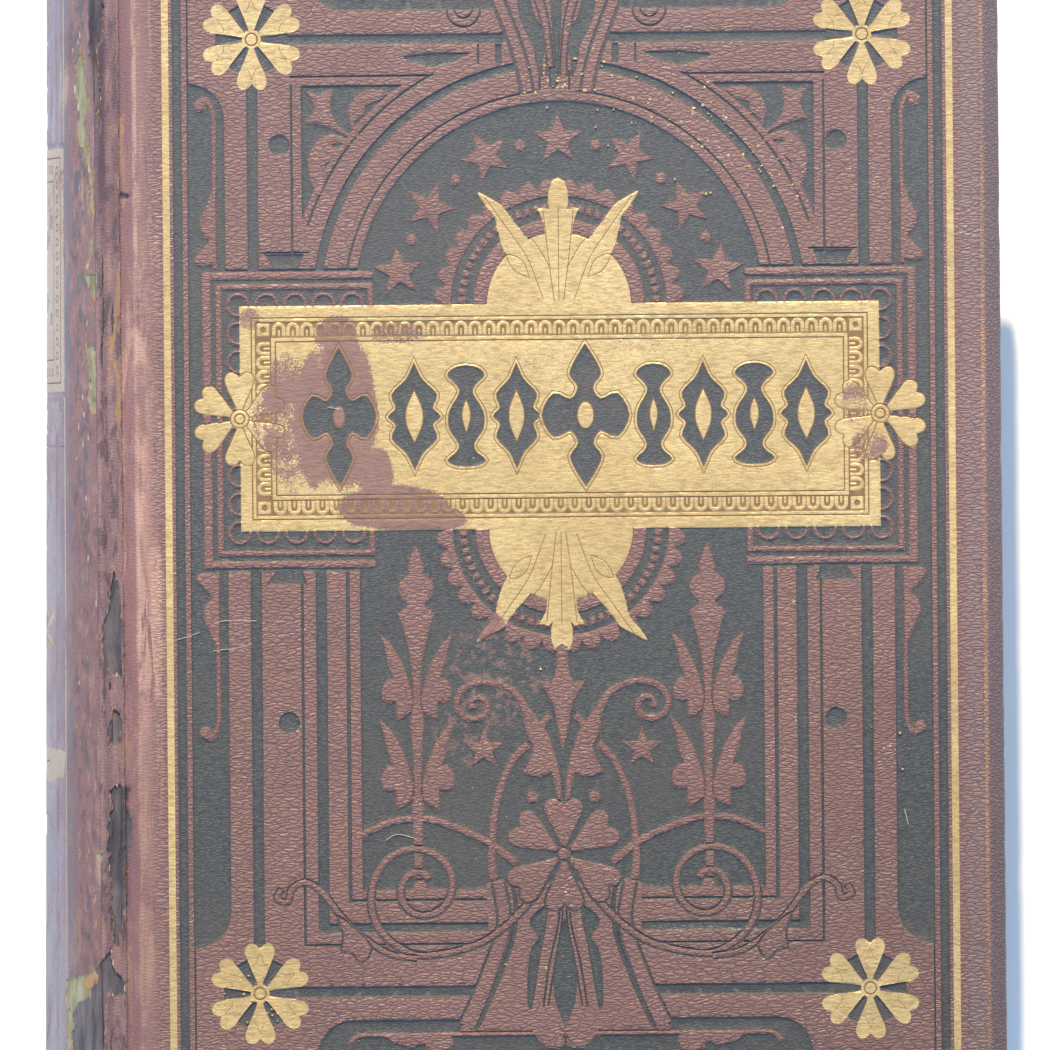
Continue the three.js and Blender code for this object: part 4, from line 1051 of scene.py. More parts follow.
def relief(art, hu, hv, grid=2.6, base="red", left=None, edge=0.0):
    """Triangulates the design: returns points (u, v, h), triangles and their slots."""
    u_low = -hu if left is None else left
    verts, edges = [], []

    def insert(points, closed=True):
        start = len(verts)
        verts.extend(Vector((float(x), float(y))) for x, y in points)
        n = len(points)
        edges.extend((start + i, start + (i + 1) % n) for i in range(n if closed else n - 1))

    def cut(points):
        return [(min(max(x, u_low), hu), min(max(y, -hv), hv)) for x, y in points]

    corners = [(u_low, -hv), (hu, -hv), (hu, hv), (u_low, hv)]
    if edge:
        corners = fill_in(corners, edge)
    insert(corners)
    for kind, loops in art.shapes:
        arrays = [np.array(l) for l in loops]
        for loop in loops:
            loop = fill_in([tuple(q) for q in loop], 2.0 if edge else 9.0)
            insert(cut(loop))
            for sign in (-1,) if len(loops) == 1 else (-1, 1):
                off = grow(loop, sign * SOFT[kind])
                probe = np.array(off[len(off) // 2])
                if len(loops) > 1 and not inside(probe[:1], probe[1:], arrays)[0]:
                    continue
                insert(cut(off))
    us = np.arange(u_low + grid / 2, hu, grid)
    vs = np.arange(-hv + grid / 2, hv, grid)
    for i, v in enumerate(vs):
        for u in us + (grid / 4 if i % 2 else -grid / 4):
            if u_low < u < hu:
                verts.append(Vector((float(u), float(v))))
    points, _, faces, *_ = delaunay_2d_cdt(verts, edges, [], 0, 2e-3, False)
    p = np.array([(q.x, q.y) for q in points])
    f = np.array([t for t in faces if len(t) == 3])
    a, b, c = p[f[:, 0]], p[f[:, 1]], p[f[:, 2]]
    area = 0.5 * ((b[:, 0] - a[:, 0]) * (c[:, 1] - a[:, 1]) - (c[:, 0] - a[:, 0]) * (b[:, 1] - a[:, 1]))
    f[area < 0] = f[area < 0][:, [0, 2, 1]]
    f = f[np.abs(area) > 1e-7]
    h = np.full(len(p), HEIGHTS[base])
    mid = p[f].mean(1)
    slot = np.full(len(f), KIND_SLOT[base])
    for kind, loops in art.shapes:
        arrays = [np.array(l) for l in loops]
        low = np.min([x.min(0) for x in arrays], 0)
        high = np.max([x.max(0) for x in arrays], 0)
        near = np.flatnonzero(np.all((p >= low) & (p <= high), 1))
        if len(near):
            at = p[near]
            within = inside(at[:, 0], at[:, 1], arrays)
            near, at = near[within], at[within]
            if len(near):
                d = distance_to(at[:, 0], at[:, 1], arrays)
                w = np.clip(d / SOFT[kind], 0, 1)
                w = w * w * (3 - 2 * w)
                h[near] += (HEIGHTS[kind] - h[near]) * w
        near = np.flatnonzero(np.all((mid >= low) & (mid <= high), 1))
        if len(near):
            at = mid[near]
            near = near[inside(at[:, 0], at[:, 1], arrays)]
            slot[near] = KIND_SLOT[kind]
    return p, h, f, slot


def waves(x, y, scale, seed):
    """Smooth seeded wobble, about -1 to 1."""
    r = np.random.default_rng(seed)
    out = np.zeros(np.shape(x))
    for k in range(7):
        a = r.uniform(0, 2 * math.pi)
        s = scale * r.uniform(0.6, 1.9)
        out = out + np.sin((x * math.cos(a) + y * math.sin(a)) * 2 * math.pi / s + r.uniform(0, 6.28))
    return out / 3.2


def make(name, verts, faces, materials, slots=None, shade="smooth", body=None):
    """A mesh piece from points in mm."""
    mesh = bpy.data.meshes.new(name)
    v = np.asarray(verts, float) * MM
    mesh.from_pydata([tuple(q) for q in v], [], [tuple(int(i) for i in q) for q in faces])
    for m in materials:
        mesh.materials.append(m)
    if slots is not None:
        mesh.polygons.foreach_set("material_index", np.asarray(slots, np.int32))
    mesh.polygons.foreach_set("use_smooth", [shade != "flat"] * len(mesh.polygons))
    mesh.update()
    if shade == "area":
        tri = np.array([tuple(p.vertices)[:3] for p in mesh.polygons])
        n = np.cross(v[tri[:, 1]] - v[tri[:, 0]], v[tri[:, 2]] - v[tri[:, 0]])
        total = np.zeros((len(v), 3))
        for k in range(3):
            np.add.at(total, tri[:, k], n)
        length = np.linalg.norm(total, axis=1)
        total[length < 1e-15] = (0, 0, 1)
        total /= np.maximum(np.linalg.norm(total, axis=1), 1e-15)[:, None]
        mesh.normals_split_custom_set_from_vertices([tuple(q) for q in total])
    obj = bpy.data.objects.new(name, mesh)
    bpy.context.scene.collection.objects.link(obj)
    if body:
        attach(obj, body)
    return obj


def outline(left, right, half, r, n_x=150, n_y=620, n_c=6):
    """Points round a rectangle with rounded corners, always the same number of them."""
    pts = []
    r = max(r, 0.001)
    for cx, cy, a0, n, step in (
            (left + r, -half + r, 180, n_x, (right - left - 2 * r, 0)),
            (right - r, -half + r, 270, n_y, (0, 2 * half - 2 * r)),
            (right - r, half - r, 0, n_x, (-(right - left - 2 * r), 0)),
            (left + r, half - r, 90, n_y, (0, -(2 * half - 2 * r)))):
        turn = [(cx + r * math.cos(math.radians(a0 + 90 * i / n_c)),
                 cy + r * math.sin(math.radians(a0 + 90 * i / n_c))) for i in range(n_c)]
        pts += turn
        ex, ey = cx + r * math.cos(math.radians(a0 + 90)), cy + r * math.sin(math.radians(a0 + 90))
        pts += [(ex + step[0] * i / n, ey + step[1] * i / n) for i in range(n)]
    return pts


# torn places along the front joint, as X and Y in mm
def rough_edge(points, amount=0.28, seed=1, step=1.1):
    r = np.random.default_rng(seed)
    pts = fill_in(points, step)
    return [(x + r.normal(0, amount), y + r.normal(0, amount)) for x, y in pts]


TEARS = [rough_edge(p, 0.22, 40 + i) for i, p in enumerate([
    [(-106.2, -13.2), (-104.9, -19.0), (-104.6, -25.4), (-103.9, -28.7), (-104.2, -34.5), (-104.6, -40.3),
     (-106.8, -40.6), (-108.8, -38.3), (-109.7, -31.9), (-109.7, -28.0), (-108.1, -24.8), (-107.5, -19.0)],
    [(-106.8, -49.4), (-104.9, -50.6), (-104.2, -53.0), (-105.4, -56.4), (-105.9, -59.1), (-108.2, -58.6),
     (-108.4, -55.0), (-107.4, -51.8)],
    [(-106.2, -68.8), (-102.6, -69.7), (-103.9, -73.9), (-102.0, -79.1), (-102.3, -84.3), (-103.9, -89.4),
     (-103.3, -99.1), (-104.9, -103.0), (-106.2, -111.4), (-107.2, -109.5), (-107.8, -101.7), (-108.1, -93.3),
     (-108.6, -85.6), (-108.4, -79.1), (-107.5, -73.9), (-108.1, -70.7)],
    [(-108.1, -112.0), (-107.5, -116.6), (-104.2, -119.8), (-104.2, -123.7), (-106.8, -123.7), (-108.4, -121.7),
     (-110.1, -128.8), (-109.9, -138.5), (-109.6, -158.0), (-118.4, -158.0), (-117.8, -138.5), (-117.2, -126.3),
     (-112.6, -121.1), (-111.7, -115.9)],
    [(-104.6, 83.8), (-101.4, 83.4), (-101.6, 82.6), (-104.4, 82.2)],
    [(-109.6, 121.0), (-108.0, 124.0), (-107.6, 132.0), (-108.2, 145.0), (-108.6, 158.0), (-111.4, 158.0),
     (-111.2, 140.0), (-111.9, 126.0), (-111.0, 112.0), (-109.8, 103.0), (-108.6, 108.0)],
])]
PALE_STRIPS = [rough_edge(p, 0.2, 60 + i) for i, p in enumerate([
    [(-115.4, 120.2), (-114.9, 115.7), (-115.7, 111.5), (-115.0, 107.9), (-114.5, 103.4), (-115.0, 99.5),
     (-113.9, 96.3), (-112.4, 92.8), (-111.7, 89.2), (-112.1, 84.7), (-111.3, 78.8), (-110.8, 79.5), (-111.0, 84.7),
     (-111.2, 89.2), (-111.5, 93.1), (-112.2, 96.9), (-112.4, 100.2), (-113.4, 102.1), (-112.4, 105.3),
     (-112.1, 109.9), (-112.7, 113.7), (-112.8, 119.6)],
    [(-111.5, 73.7), (-112.1, 68.5), (-113.2, 64.9), (-112.4, 64.9), (-111.3, 68.5), (-110.8, 73.4)],
    [(-113.2, 63.1), (-112.1, 59.2), (-111.0, 56.2), (-110.1, 56.6), (-110.2, 63.1)],
    [(-113.2, 44.4), (-110.8, 44.6), (-110.6, 30.0), (-110.7, 27.0), (-112.0, 27.6), (-112.8, 31.0), (-112.4, 37.0)],
    [(-118.8, -119.8), (-115.9, -118.5), (-111.9, -116.8), (-111.9, -119.8), (-114.6, -124.3), (-117.2, -126.3),
     (-117.9, -138.5), (-118.2, -158.0), (-119.0, -158.0), (-118.8, -138.0), (-118.5, -127.0)],
    [(-111.6, -87.0), (-110.4, -85.2), (-109.9, -87.4), (-110.6, -89.4)],
])]
FRAYED = [rough_edge(p, 0.18, 80 + i, 0.8) for i, p in enumerate([
    [(-101.0, 71.4), (-100.2, 73.6), (-101.2, 69.0), (-103.6, 64.6), (-104.2, 60.0), (-104.9, 50.0), (-106.4, 42.0),
     (-107.2, 44.0), (-105.8, 52.0), (-105.2, 60.0), (-104.4, 65.2), (-102.4, 68.8)],
    [(-105.4, 42.0), (-104.4, 36.0), (-104.2, 26.0), (-104.8, 20.0), (-105.4, 26.0), (-105.2, 34.0), (-106.0, 40.0)],
    [(-114.6, -119.2), (-111.8, -117.4), (-111.8, -120.2), (-113.6, -122.4), (-114.9, -121.6)],
    [(-103.6, 133.0), (-103.1, 158.0), (-102.6, 158.0), (-102.8, 133.0), (-103.0, 120.0), (-103.5, 112.0),
     (-103.9, 118.0)],
])]


# ---------------------------------------------------------------- cover skins
def wear_height(x, y):
    """Low bruises and swells of an old board, in mm."""
    swell = 0.10 * waves(x, y, 90, 5) + 0.05 * waves(x, y, 22, 6)
    return swell - 0.12


def cover_skin(side, materials, gold):
    """Leather over a board: blocked middle, bevels, edges and turn-ins, as one mesh."""
    art = cover_art(gold)
    p, h, f, slot = relief(art, ART_HALF_U, ART_HALF_V)
    top = np.column_stack([p[:, 0] + ART_X, p[:, 1], np.zeros(len(p))])
    fade = np.minimum(ART_HALF_U - np.abs(p[:, 0]), ART_HALF_V - np.abs(p[:, 1]))
    top[:, 2] = THICK - 0.02 + h + wear_height(top[:, 0], top[:, 1])
    verts = [tuple(q) for q in top]
    faces = [tuple(t) for t in f]
    slots = list(slot)

    # border rings, from the edge of the blocked middle out and round to the inside
    x0, x1, y1 = ART_X - ART_HALF_U, ART_X + ART_HALF_U, ART_HALF_V
    left, right, half = COVER_LEFT, HALF_W, HALF_H
    profile = [
        (0.0, THICK - 0.02, 0.0), (0.35, THICK - 0.10, 0.6), (0.9, THICK - 0.36, 1.0),
        (1.7, THICK - 0.02 - DROP * 0.31, 1.4), (2.5, THICK - DROP * 0.50, 1.7), (3.3, THICK - DROP * 0.68, 2.0),
        (4.1, THICK - DROP * 0.86, 2.3), (4.65, THICK - DROP * 1.04, 2.4), (4.9, THICK - DROP * 1.3, 2.5),
        (4.9, THICK - 4.4, 2.5), (4.9, THICK - 5.4, 2.5), (4.8, THICK - 6.1, 2.5), (4.4, THICK - 6.55, 2.3),
        (3.4, THICK - 6.62, 2.0), (-4.0, THICK - 6.60, 1.0),
    ]
    out_l, out_r, out_h = (x0 - left) / 4.9, (right - x1) / 4.9, (half - y1) / 4.9
    rings = []
    for k, (d, z, r) in enumerate(profile):
        a, b, c = x0 - d * out_l, x1 + d * out_r, y1 + d * out_h
        pts = np.array(outline(a, b, c, r))
        wobble = wear_height(pts[:, 0], pts[:, 1])
        z = np.full(len(pts), z) + wobble * (1.0 if k == 0 else 0.7 if k < 9 else 0.0) - (0.03 if 0 < k < 9 else 0)
        if 0 < k < 13:
            # edges nibbled by wear and corners knocked down
            nibble = np.abs(waves(pts[:, 0], pts[:, 1], 15, 31)) * 0.16 + np.abs(waves(pts[:, 0], pts[:, 1], 4, 33)) * 0.05
            nibble *= min(k / 4, 1.0) * (pts[:, 0] > left + 8)
            sx = np.where(np.abs(pts[:, 0] - a) < 1.5, 1, np.where(np.abs(pts[:, 0] - b) < 1.5, -1, 0))
            sy = np.where(np.abs(pts[:, 1] + c) < 1.5, 1, np.where(np.abs(pts[:, 1] - c) < 1.5, -1, 0))
            pts[:, 0] += sx * nibble
            pts[:, 1] += sy * nibble
            dist = np.hypot(np.maximum(np.abs(pts[:, 0] - (a + b) / 2) - ((b - a) / 2 - 9), 0),
                            np.maximum(np.abs(pts[:, 1]) - (c - 9), 0))
            blunt = np.clip((dist - 8) / 5, 0, 1) * (1.1 if 4 < k < 12 else 0.4)
            pts[:, 0] += ((a + b) / 2 - pts[:, 0]) / 115 * blunt
            pts[:, 1] -= pts[:, 1] / 155 * blunt
            if side == "front" and 1 < k < 9:
                bared = inside(pts[:, 0], pts[:, 1], [np.array(l) for l in TEARS])
                z = z - 0.45 * bared
        rings.append(np.column_stack([pts, z]))
    n = len(rings[0])
    start = len(verts)
    for pts in rings:
        verts.extend(tuple(q) for q in pts)
    where = []
    for k in range(len(rings) - 1):
        for i in range(n):
            j = (i + 1) % n
            a, b = start + k * n + i, start + k * n + j
            c, d = start + (k + 1) * n + j, start + (k + 1) * n + i
            faces.append((a, d, c))
            faces.append((a, c, b))
            slots += [0, 0]
            where += [(rings[k][i] + rings[k + 1][i] + rings[k + 1][j]) / 3,
                      (rings[k][i] + rings[k][j] + rings[k + 1][j]) / 3]
    if side == "front":
        where = np.array(where)
        first = len(slots) - len(where)
        bared = inside(where[:, 0], where[:, 1], [np.array(l) for l in TEARS]) & (where[:, 2] > THICK - 4)
        for i in np.flatnonzero(bared):
            slots[first + i] = KIND_SLOT["tear"]
    verts = np.array(verts)
    faces = np.array(faces)
    if side == "back":
        verts[:, 2] = THICK - verts[:, 2]
        # the underside rests flat
        faces = faces[:, [0, 2, 1]]
    obj = make(f"{side}_cover_skin", verts, faces, materials, slots, "area", f"{side}_cover")
    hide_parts(f"{side}_cover_leather")
    return obj


FRONT_SET = [RED, DARK, GOLD, TRACE, NICK, TORN, PALE, FRAY]
cover_skin("front", FRONT_SET, True)
cover_skin("back", [BACK_RED, DARK, BACK_RED, DARK, NICK, TORN, PALE, FRAY], False)


# ---------------------------------------------------------------- shells along curved profiles
def shell(name, art, hu, hv, place, depth, materials, body, node, grid=1.2, edge=1.0, lip=0.35,
          joined=None, sunk=1.0):
    """Leather of some thickness: a relief outside, a plain inside, rounded ends."""
    p, h, f, slots = relief(art, hu, hv, grid, edge=edge)
    verts = [place(u, v, d * sunk) for (u, v), d in zip(p, h)]
    faces = [tuple(t) for t in f]
    slots = list(slots)
    rim = fill_in(box(hu, hv), 1.6)
    rings = []
    for inset, d in ((0.0, 0.0), (-0.12, depth * 0.25), (-0.12, depth * 0.7), (0.0, depth), (lip + 0.6, depth)):
        rings.append([place(u - math.copysign(min(inset, abs(u)), u), v - math.copysign(inset, v), d) for u, v in rim])
    start, n = len(verts), len(rim)
    for r in rings:
        verts.extend(r)
    for k in range(len(rings) - 1):
        for i in range(n):
            j = (i + 1) % n
            a, b, c, d = start + k * n + i, start + k * n + j, start + (k + 1) * n + j, start + (k + 1) * n + i
            faces += [(a, d, c), (a, c, b)]
            slots += [0, 0]
    nu, nv = max(6, int(hu / 1.2)), 60
    start = len(verts)
    for j in range(nv + 1):
        for i in range(nu + 1):
            u = -hu + lip + 2 * (hu - lip) * i / nu
            v = -hv + lip + 2 * (hv - lip) * j / nv
            verts.append(place(u, v, depth + 0.01 * math.sin(i * 2.1 + j)))
    for j in range(nv):
        for i in range(nu):
            a = start + j * (nu + 1) + i
            faces += [(a, a + nu + 1, a + nu + 2), (a, a + nu + 2, a + 1)]
            slots += [0, 0]
    obj = make(name, verts, faces, materials, slots, "area", body)
    if joined:
        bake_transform(obj)
    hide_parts(node)
    return obj


def plate(name, nu, nv, top, under, materials, body, node, joined=None, shade="smooth"):
    """A thin sheet between two surfaces, each a function of (i/nu, j/nv)."""
    verts = [top(i / nu, j / nv) for j in range(nv + 1) for i in range(nu + 1)]
    verts += [under(i / nu, j / nv) for j in range(nv + 1) for i in range(nu + 1)]
    m, row = (nu + 1) * (nv + 1), nu + 1
    faces = []
    for j in range(nv):
        for i in range(nu):
            a = j * row + i
            faces.append((a, a + 1, a + row + 1, a + row))
            faces.append((m + a, m + a + row, m + a + row + 1, m + a + 1))
    for i in range(nu):
        a, b = i, nv * row + i
        faces += [(a, m + a, m + a + 1, a + 1), (b, b + 1, m + b + 1, m + b)]
    for j in range(nv):
        a, b = j * row, j * row + nu
        faces += [(a, a + row, m + a + row, m + a), (b, m + b, m + b + row, b + row)]
    obj = make(name, verts, faces, materials, None, shade, body)
    if joined:
        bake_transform(obj)
    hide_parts(node)
    return obj


def wiggle(t, scale, seed):
    return float(waves(np.array(t * 100.0), np.array(seed * 7.3), scale, seed))


# ---------------------------------------------------------------- spine
SPAN_ANGLE = math.asin(SPINE_SPAN / SPINE_R)
SPINE_S = SPINE_R * SPAN_ANGLE


def on_spine(s, v, d):
    a = s / SPINE_R
    # the leather turns over softly at head and tail
    roll = max(0.0, abs(v) - 155.6) / 1.9
    r = SPINE_R + d - 0.55 * roll * roll
    # the hollow back has sprung away from the folds towards the tail
    sprung = 3.0 * min(max((150.0 - v) / 300.0, 0.0), 1.0) * max(math.cos(a * math.pi / 2 / SPAN_ANGLE), 0.0) ** 1.2
    return SPINE_X - r * math.cos(a) - sprung, v, MID_Z + r * math.sin(a)


def along(x):
    return SPINE_R * math.acos(min(1.0, max(-1.0, (SPINE_X - x) / SPINE_R)))


def spine_art():
    art = Art()
    # frame lines round the whole spine
    art.add("dark", box(22.5, 153.0), box(19.5, 150.0))
    art.add("gold", box(26.6, 154.3), box(25.9, 153.6))
    # gilt title panel, left blank but for its borders
    art.add("dark", rect(-26.6, 31.4, 26.6, 97.6))
    art.add("gold", rect(-25.8, 32.8, 25.8, 96.0))
    for d in (2.2, 8.2):
        art.add("trace", rect(-25.8 + d, 32.8 + d, 25.8 - d, 96.0 - d),
                rect(-25.4 + d, 33.2 + d, 25.4 - d, 95.6 - d))
    for k in range(-7, 8):
        for side in (1, -1):
            art.add("trace", circle(side * 20.6, 64.4 + k * 3.7, 1.15, 10), circle(side * 20.6, 64.4 + k * 3.7, 0.8, 8))
    for k in range(-4, 5):
        for v in (38.0, 90.8):
            art.add("trace", circle(k * 3.9, v, 1.15, 10), circle(k * 3.9, v, 0.8, 8))
    for v in (72.5, 56.3):
        diamond = [(0, v - 6.4), (12.6, v), (0, v + 6.4), (-12.6, v)]
        art.add("dark", diamond)
        art.add("gold", [(0, v - 3.0), (5.8, v), (0, v + 3.0), (-5.8, v)])
    for side in (1, -1):
        art.add("dark", rect(*sorted((side * 13.2, side * 15.8))[:1], 50.2, sorted((side * 13.2, side * 15.8))[1], 53.4))
        art.add("dark", rect(sorted((side * 13.2, side * 15.8))[0], 75.4, sorted((side * 13.2, side * 15.8))[1], 78.6))
    # dark band with small gold bars below the title panel
    art.add("dark", rect(-24.0, 21.8, 24.0, 31.4))
    for k in range(-6, 7):
        art.add("gold", rect(k * 3.4 - 0.5, 28.4, k * 3.4 + 0.5, 30.2))
        art.add("gold", rect(k * 3.4 - 0.4, 23.2, k * 3.4 + 0.4, 25.0))
    art.add("line", rect(-26.0, 18.4, 26.0, 18.9))
    # head panel
    art.add("dark", smooth([(-16, 104), (0, 101.5), (16, 104), (18, 124), (16, 143), (0, 146), (-16, 143), (-18, 124)],
                           4, True))
    rosette(art, 0, 124, r=11.5, kind="red", ring=False)
    for v in (108.4, 139.8):
        art.add("gold", star(0, v, 3.6))
    # middle panel, plain leather with a lozenge
    art.add("dark", [(0, -12.5), (15.5, 1.5), (0, 15.5), (-15.5, 1.5)])
    art.add("red", [(0, -7.5), (10.5, 1.5), (0, 10.5), (-10.5, 1.5)])
    art.add("gold", star(0, 1.5, 3.4))
    # gilt flower
    for a in (0, 60, 120, 180, 240, 300):
        leaf = [(x * 2.1, y) for x, y in move(smooth([(0, 1.6), (1.5, 4.2), (1.9, 7.0), (0.0, 10.2), (-1.9, 7.0),
                                                      (-1.5, 4.2)], 3, True), (0, 0), a)]
        art.add("gold", [(x, y - 29.0) for x, y in leaf])
        art.add("trace", [(x * 2.1, y - 29.0) for x, y in move([(0.12, 2.6), (0.12, 7.4), (-0.12, 7.4), (-0.12, 2.6)],
                                                              (0, 0), a)])
    art.add("dark", circle(0, -29, 2.6, 16))
    art.add("gold", circle(0, -29, 1.4, 12))
    # small gilt bar and the foot panel
    art.add("gold", [(-26.0, -60.4), (-14.0, -59.6), (0, -58.6), (14.0, -59.6), (26.0, -60.4), (25.0, -67.0),
                     (12.0, -68.6), (0, -66.0), (-12.0, -68.6), (-25.0, -67.0)])
    art.add("trace", [(-12, -62.8), (12, -62.8), (12, -63.3), (-12, -63.3)])
    art.add("dark", smooth([(-16, -80), (0, -77), (16, -80), (18, -111), (16, -143), (0, -146), (-16, -143),
                            (-18, -111)], 4, True))
    foot = [(0, -82), (2.8, -88), (6.2, -92), (3.6, -96), (8.8, -99), (10.6, -105), (4.0, -106.4), (2.0, -112),
            (2.0, -136), (0, -141)]
    art.add("red", foot + [(-x, y) for x, y in foot[::-1][1:-1]])
    for flip in (1, -1):
        art.add("red", smooth([(flip * 2.0, -132), (flip * 8.4, -126), (flip * 12.6, -116), (flip * 10.4, -124),
                               (flip * 11.8, -130), (flip * 6.0, -136)], 2, True))
    # bared and torn places along the front edge
    for t in TEARS:
        part = [(along(x), v) for x, v in t if x < -107.8]
        if len(part) > 5:
            art.add("tear", [(min(s, SPINE_S + 1), v) for s, v in part])
    for t in PALE_STRIPS:
        art.add("pale", [(min(along(x), SPINE_S + 1), v) for x, v in t])
    for t in FRAYED[2:3]:
        art.add("fray", [(along(x), v) for x, v in t])
    r = np.random.default_rng(9)
    for strip in PALE_STRIPS:
        for x, v in strip:
            if r.random() < 0.6:
                continue
            s, turn = along(x) + r.normal(0, 0.5), r.uniform(0, 3)
            art.add("fray" if r.random() < 0.7 else "red",
                    [(s + r.uniform(0.2, 0.6) * math.cos(turn + 1.26 * i), v + r.uniform(0.4, 1.5) * math.sin(turn + 1.26 * i))
                     for i in range(5)])
    for _ in range(60):
        s, v = r.uniform(31.5, 42.5), r.uniform(-108, 130)
        n = int(r.integers(5, 8))
        spot = [(s + r.uniform(0.15, 0.55) * math.cos(2 * math.pi * i / n),
                 v + r.uniform(0.3, 1.5) * math.sin(2 * math.pi * i / n)) for i in range(n)]
        art.add("fray" if r.random() < 0.75 else "nick", spot)
    return art


shell("spine_skin", spine_art(), SPINE_S, 157.5, on_spine, -1.0,
      [SPINE_RED, SPINE_DARK, SPINE_GILT, TRACE, NICK, TORN, PALE, FRAY], "text_block", "spine_leather",
      grid=2.2, sunk=0.45)


def arc_at(radius, t, half, v):
    a = math.asin(half / SPINE_R) * (2 * t - 1)
    return SPINE_X - radius * math.cos(a), v, MID_Z + radius * math.sin(a)


plate("hollow_card", 60, 80,
      lambda i, j: arc_at(SPINE_R - 1.12 - 0.02 * wiggle(i, 8, 3), i, 38.5, -155 + 310 * j + 0.35 * wiggle(i, 5, 4)),
      lambda i, j: arc_at(SPINE_R - 1.88 + 0.02 * wiggle(i, 9, 5), i, 38.5, -155 + 310 * j + 0.35 * wiggle(i, 5, 4)),
      [CARD], "text_block", "spine_hollow_card")
plate("spine_lining_cloth", 150, 160,
      lambda i, j: arc_at(SPINE_R - 2.16 - 0.05 * math.sin(i * 470) * math.sin(j * 500), i,
                          35.5 * (1 - 0.006 * abs(wiggle(j, 1.5, 8))), (-150 + 300 * j) * (1 - 0.002 * abs(wiggle(i, 1.2, 9)))),
      lambda i, j: arc_at(SPINE_R - 2.56 + 0.03 * math.sin(i * 470) * math.sin(j * 500), i,
                          35.5 * (1 - 0.006 * abs(wiggle(j, 1.5, 8))), (-150 + 300 * j) * (1 - 0.002 * abs(wiggle(i, 1.2, 9)))),
      [CLOTH], "text_block", "spine_lining")


def twisted(name, radius, v0, wide, thick, half, material, node, turns, strands=3, n=360, m=14):
    """A cord lying across the folds: strands laid round each other."""
    verts, faces = [], []
    for k in range(n + 1):
        t = k / n
        a = math.asin(half / SPINE_R) * (2 * t - 1)
        taper = min(1.0, 0.35 + 12 * min(t, 1 - t))
        for i in range(m):
            q = 2 * math.pi * i / m
            lay = 0.80 + 0.20 * abs(math.cos(strands * 0.5 * (q - 2 * math.pi * turns * t)))
            dr = thick / 2 * math.sin(q) * lay * taper
            dv = wide / 2 * math.cos(q) * lay * taper
            r = radius + dr
            verts.append((SPINE_X - r * math.cos(a), v0 + dv, MID_Z + r * math.sin(a)))
    for k in range(n):
        for i in range(m):
            j = (i + 1) % m
            faces.append((k * m + i, k * m + j, (k + 1) * m + j, (k + 1) * m + i))
    faces += [tuple(range(m))[::-1], tuple(n * m + i for i in range(m))]
    obj = make(name, verts, faces, [material], None, "smooth", "text_block")
    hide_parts(node)


for k, v in enumerate((-112, -56, 0, 56, 112)):
    twisted(f"cord_{k + 1}", SPINE_R - 3.45, v, 3.1, 1.44, 34.0, HEMP, f"sewing_cord_{k + 1}", 16)
for k, v in enumerate((-141, 141)):
    twisted(f"kettle_thread_{k + 1}", SPINE_R - 3.7, v, 0.96, 0.92, 34.0, THREAD, f"kettle_stitch_{k + 1}",
            34, strands=2, n=420, m=8)


def end_band(name, v0, node):
    """A roll of wound two-colour thread with a bead along its outer side."""
    radius = SPINE_R - 4.4 - 0.4
    half = math.asin(32.5 / radius)
    wraps, per, m = 92, 4, 12
    n = wraps * per
    verts, faces, slots = [], [], []
    for k in range(n + 1):
        t = k / n
        a = half * (2 * t - 1)
        swell = 0.93 + 0.07 * abs(math.sin(math.pi * k / per))
        for i in range(m):
            q = 2 * math.pi * i / m
            bead = 1.0 + (0.07 if 0.2 < math.cos(q - 2.2) else 0.0)
            r = radius + 1.5 * math.cos(q) * swell * bead
            verts.append((SPINE_X - r * math.cos(a), v0 + 1.5 * math.sin(q) * swell, MID_Z + r * math.sin(a)))
    for k in range(n):
        for i in range(m):
            j = (i + 1) % m
            faces.append((k * m + i, (k + 1) * m + i, (k + 1) * m + j, k * m + j))
            slots.append((k // (per * 2)) % 2)
    faces += [tuple(range(m)), tuple(n * m + i for i in range(m))[::-1]]
    slots += [0, 0]
    obj = make(name, verts, faces, [BAND_RED, BAND_CREAM], slots, "smooth", "text_block")
    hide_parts(node)


end_band("headband_wound", 154.75, "headband")
end_band("tailband_wound", -154.75, "tailband")

# ---------------------------------------------------------------- joint leathers and inner hinges
TOP_LINE = [(-110.43, 82.9), (-109.95, 83.2), (-109.3, 83.1), (-108.4, 82.3), (-107.4, 81.6), (-106.3, 81.6),
            (-105.15, 82.15), (-104.8, 82.42), (-104.35, 82.72), (-104.0, 82.86)]
TOP_CURVE = np.array(smooth(TOP_LINE, 6))
TOP_LONG = np.concatenate([[0], np.cumsum(np.linalg.norm(np.diff(TOP_CURVE, axis=0), axis=1))])
JOINT_HALF = TOP_LONG[-1] / 2


def on_joint(u, v, d):
    t = min(max(u + JOINT_HALF, 0.0), 2 * JOINT_HALF)
    x = np.interp(t, TOP_LONG, TOP_CURVE[:, 0])
    z = np.interp(t, TOP_LONG, TOP_CURVE[:, 1])
    tired = 0.10 * float(waves(np.array(v * 1.0), np.array(3.0), 26, 17)) * math.sin(math.pi * t / (2 * JOINT_HALF))
    thin = min(max((x + 105.25) / 0.35, 0.0), 1.0)
    ragged = 0.22 * float(waves(np.array(v * 1.0), np.array(9.0), 5, 21)) * thin
    return x - abs(ragged), v, z + d * (1 - 0.82 * thin) + min(tired, 0.05) - 0.05 * thin


def on_joint_u(x):
    return float(np.interp(x, TOP_CURVE[:, 0], TOP_LONG)) - JOINT_HALF


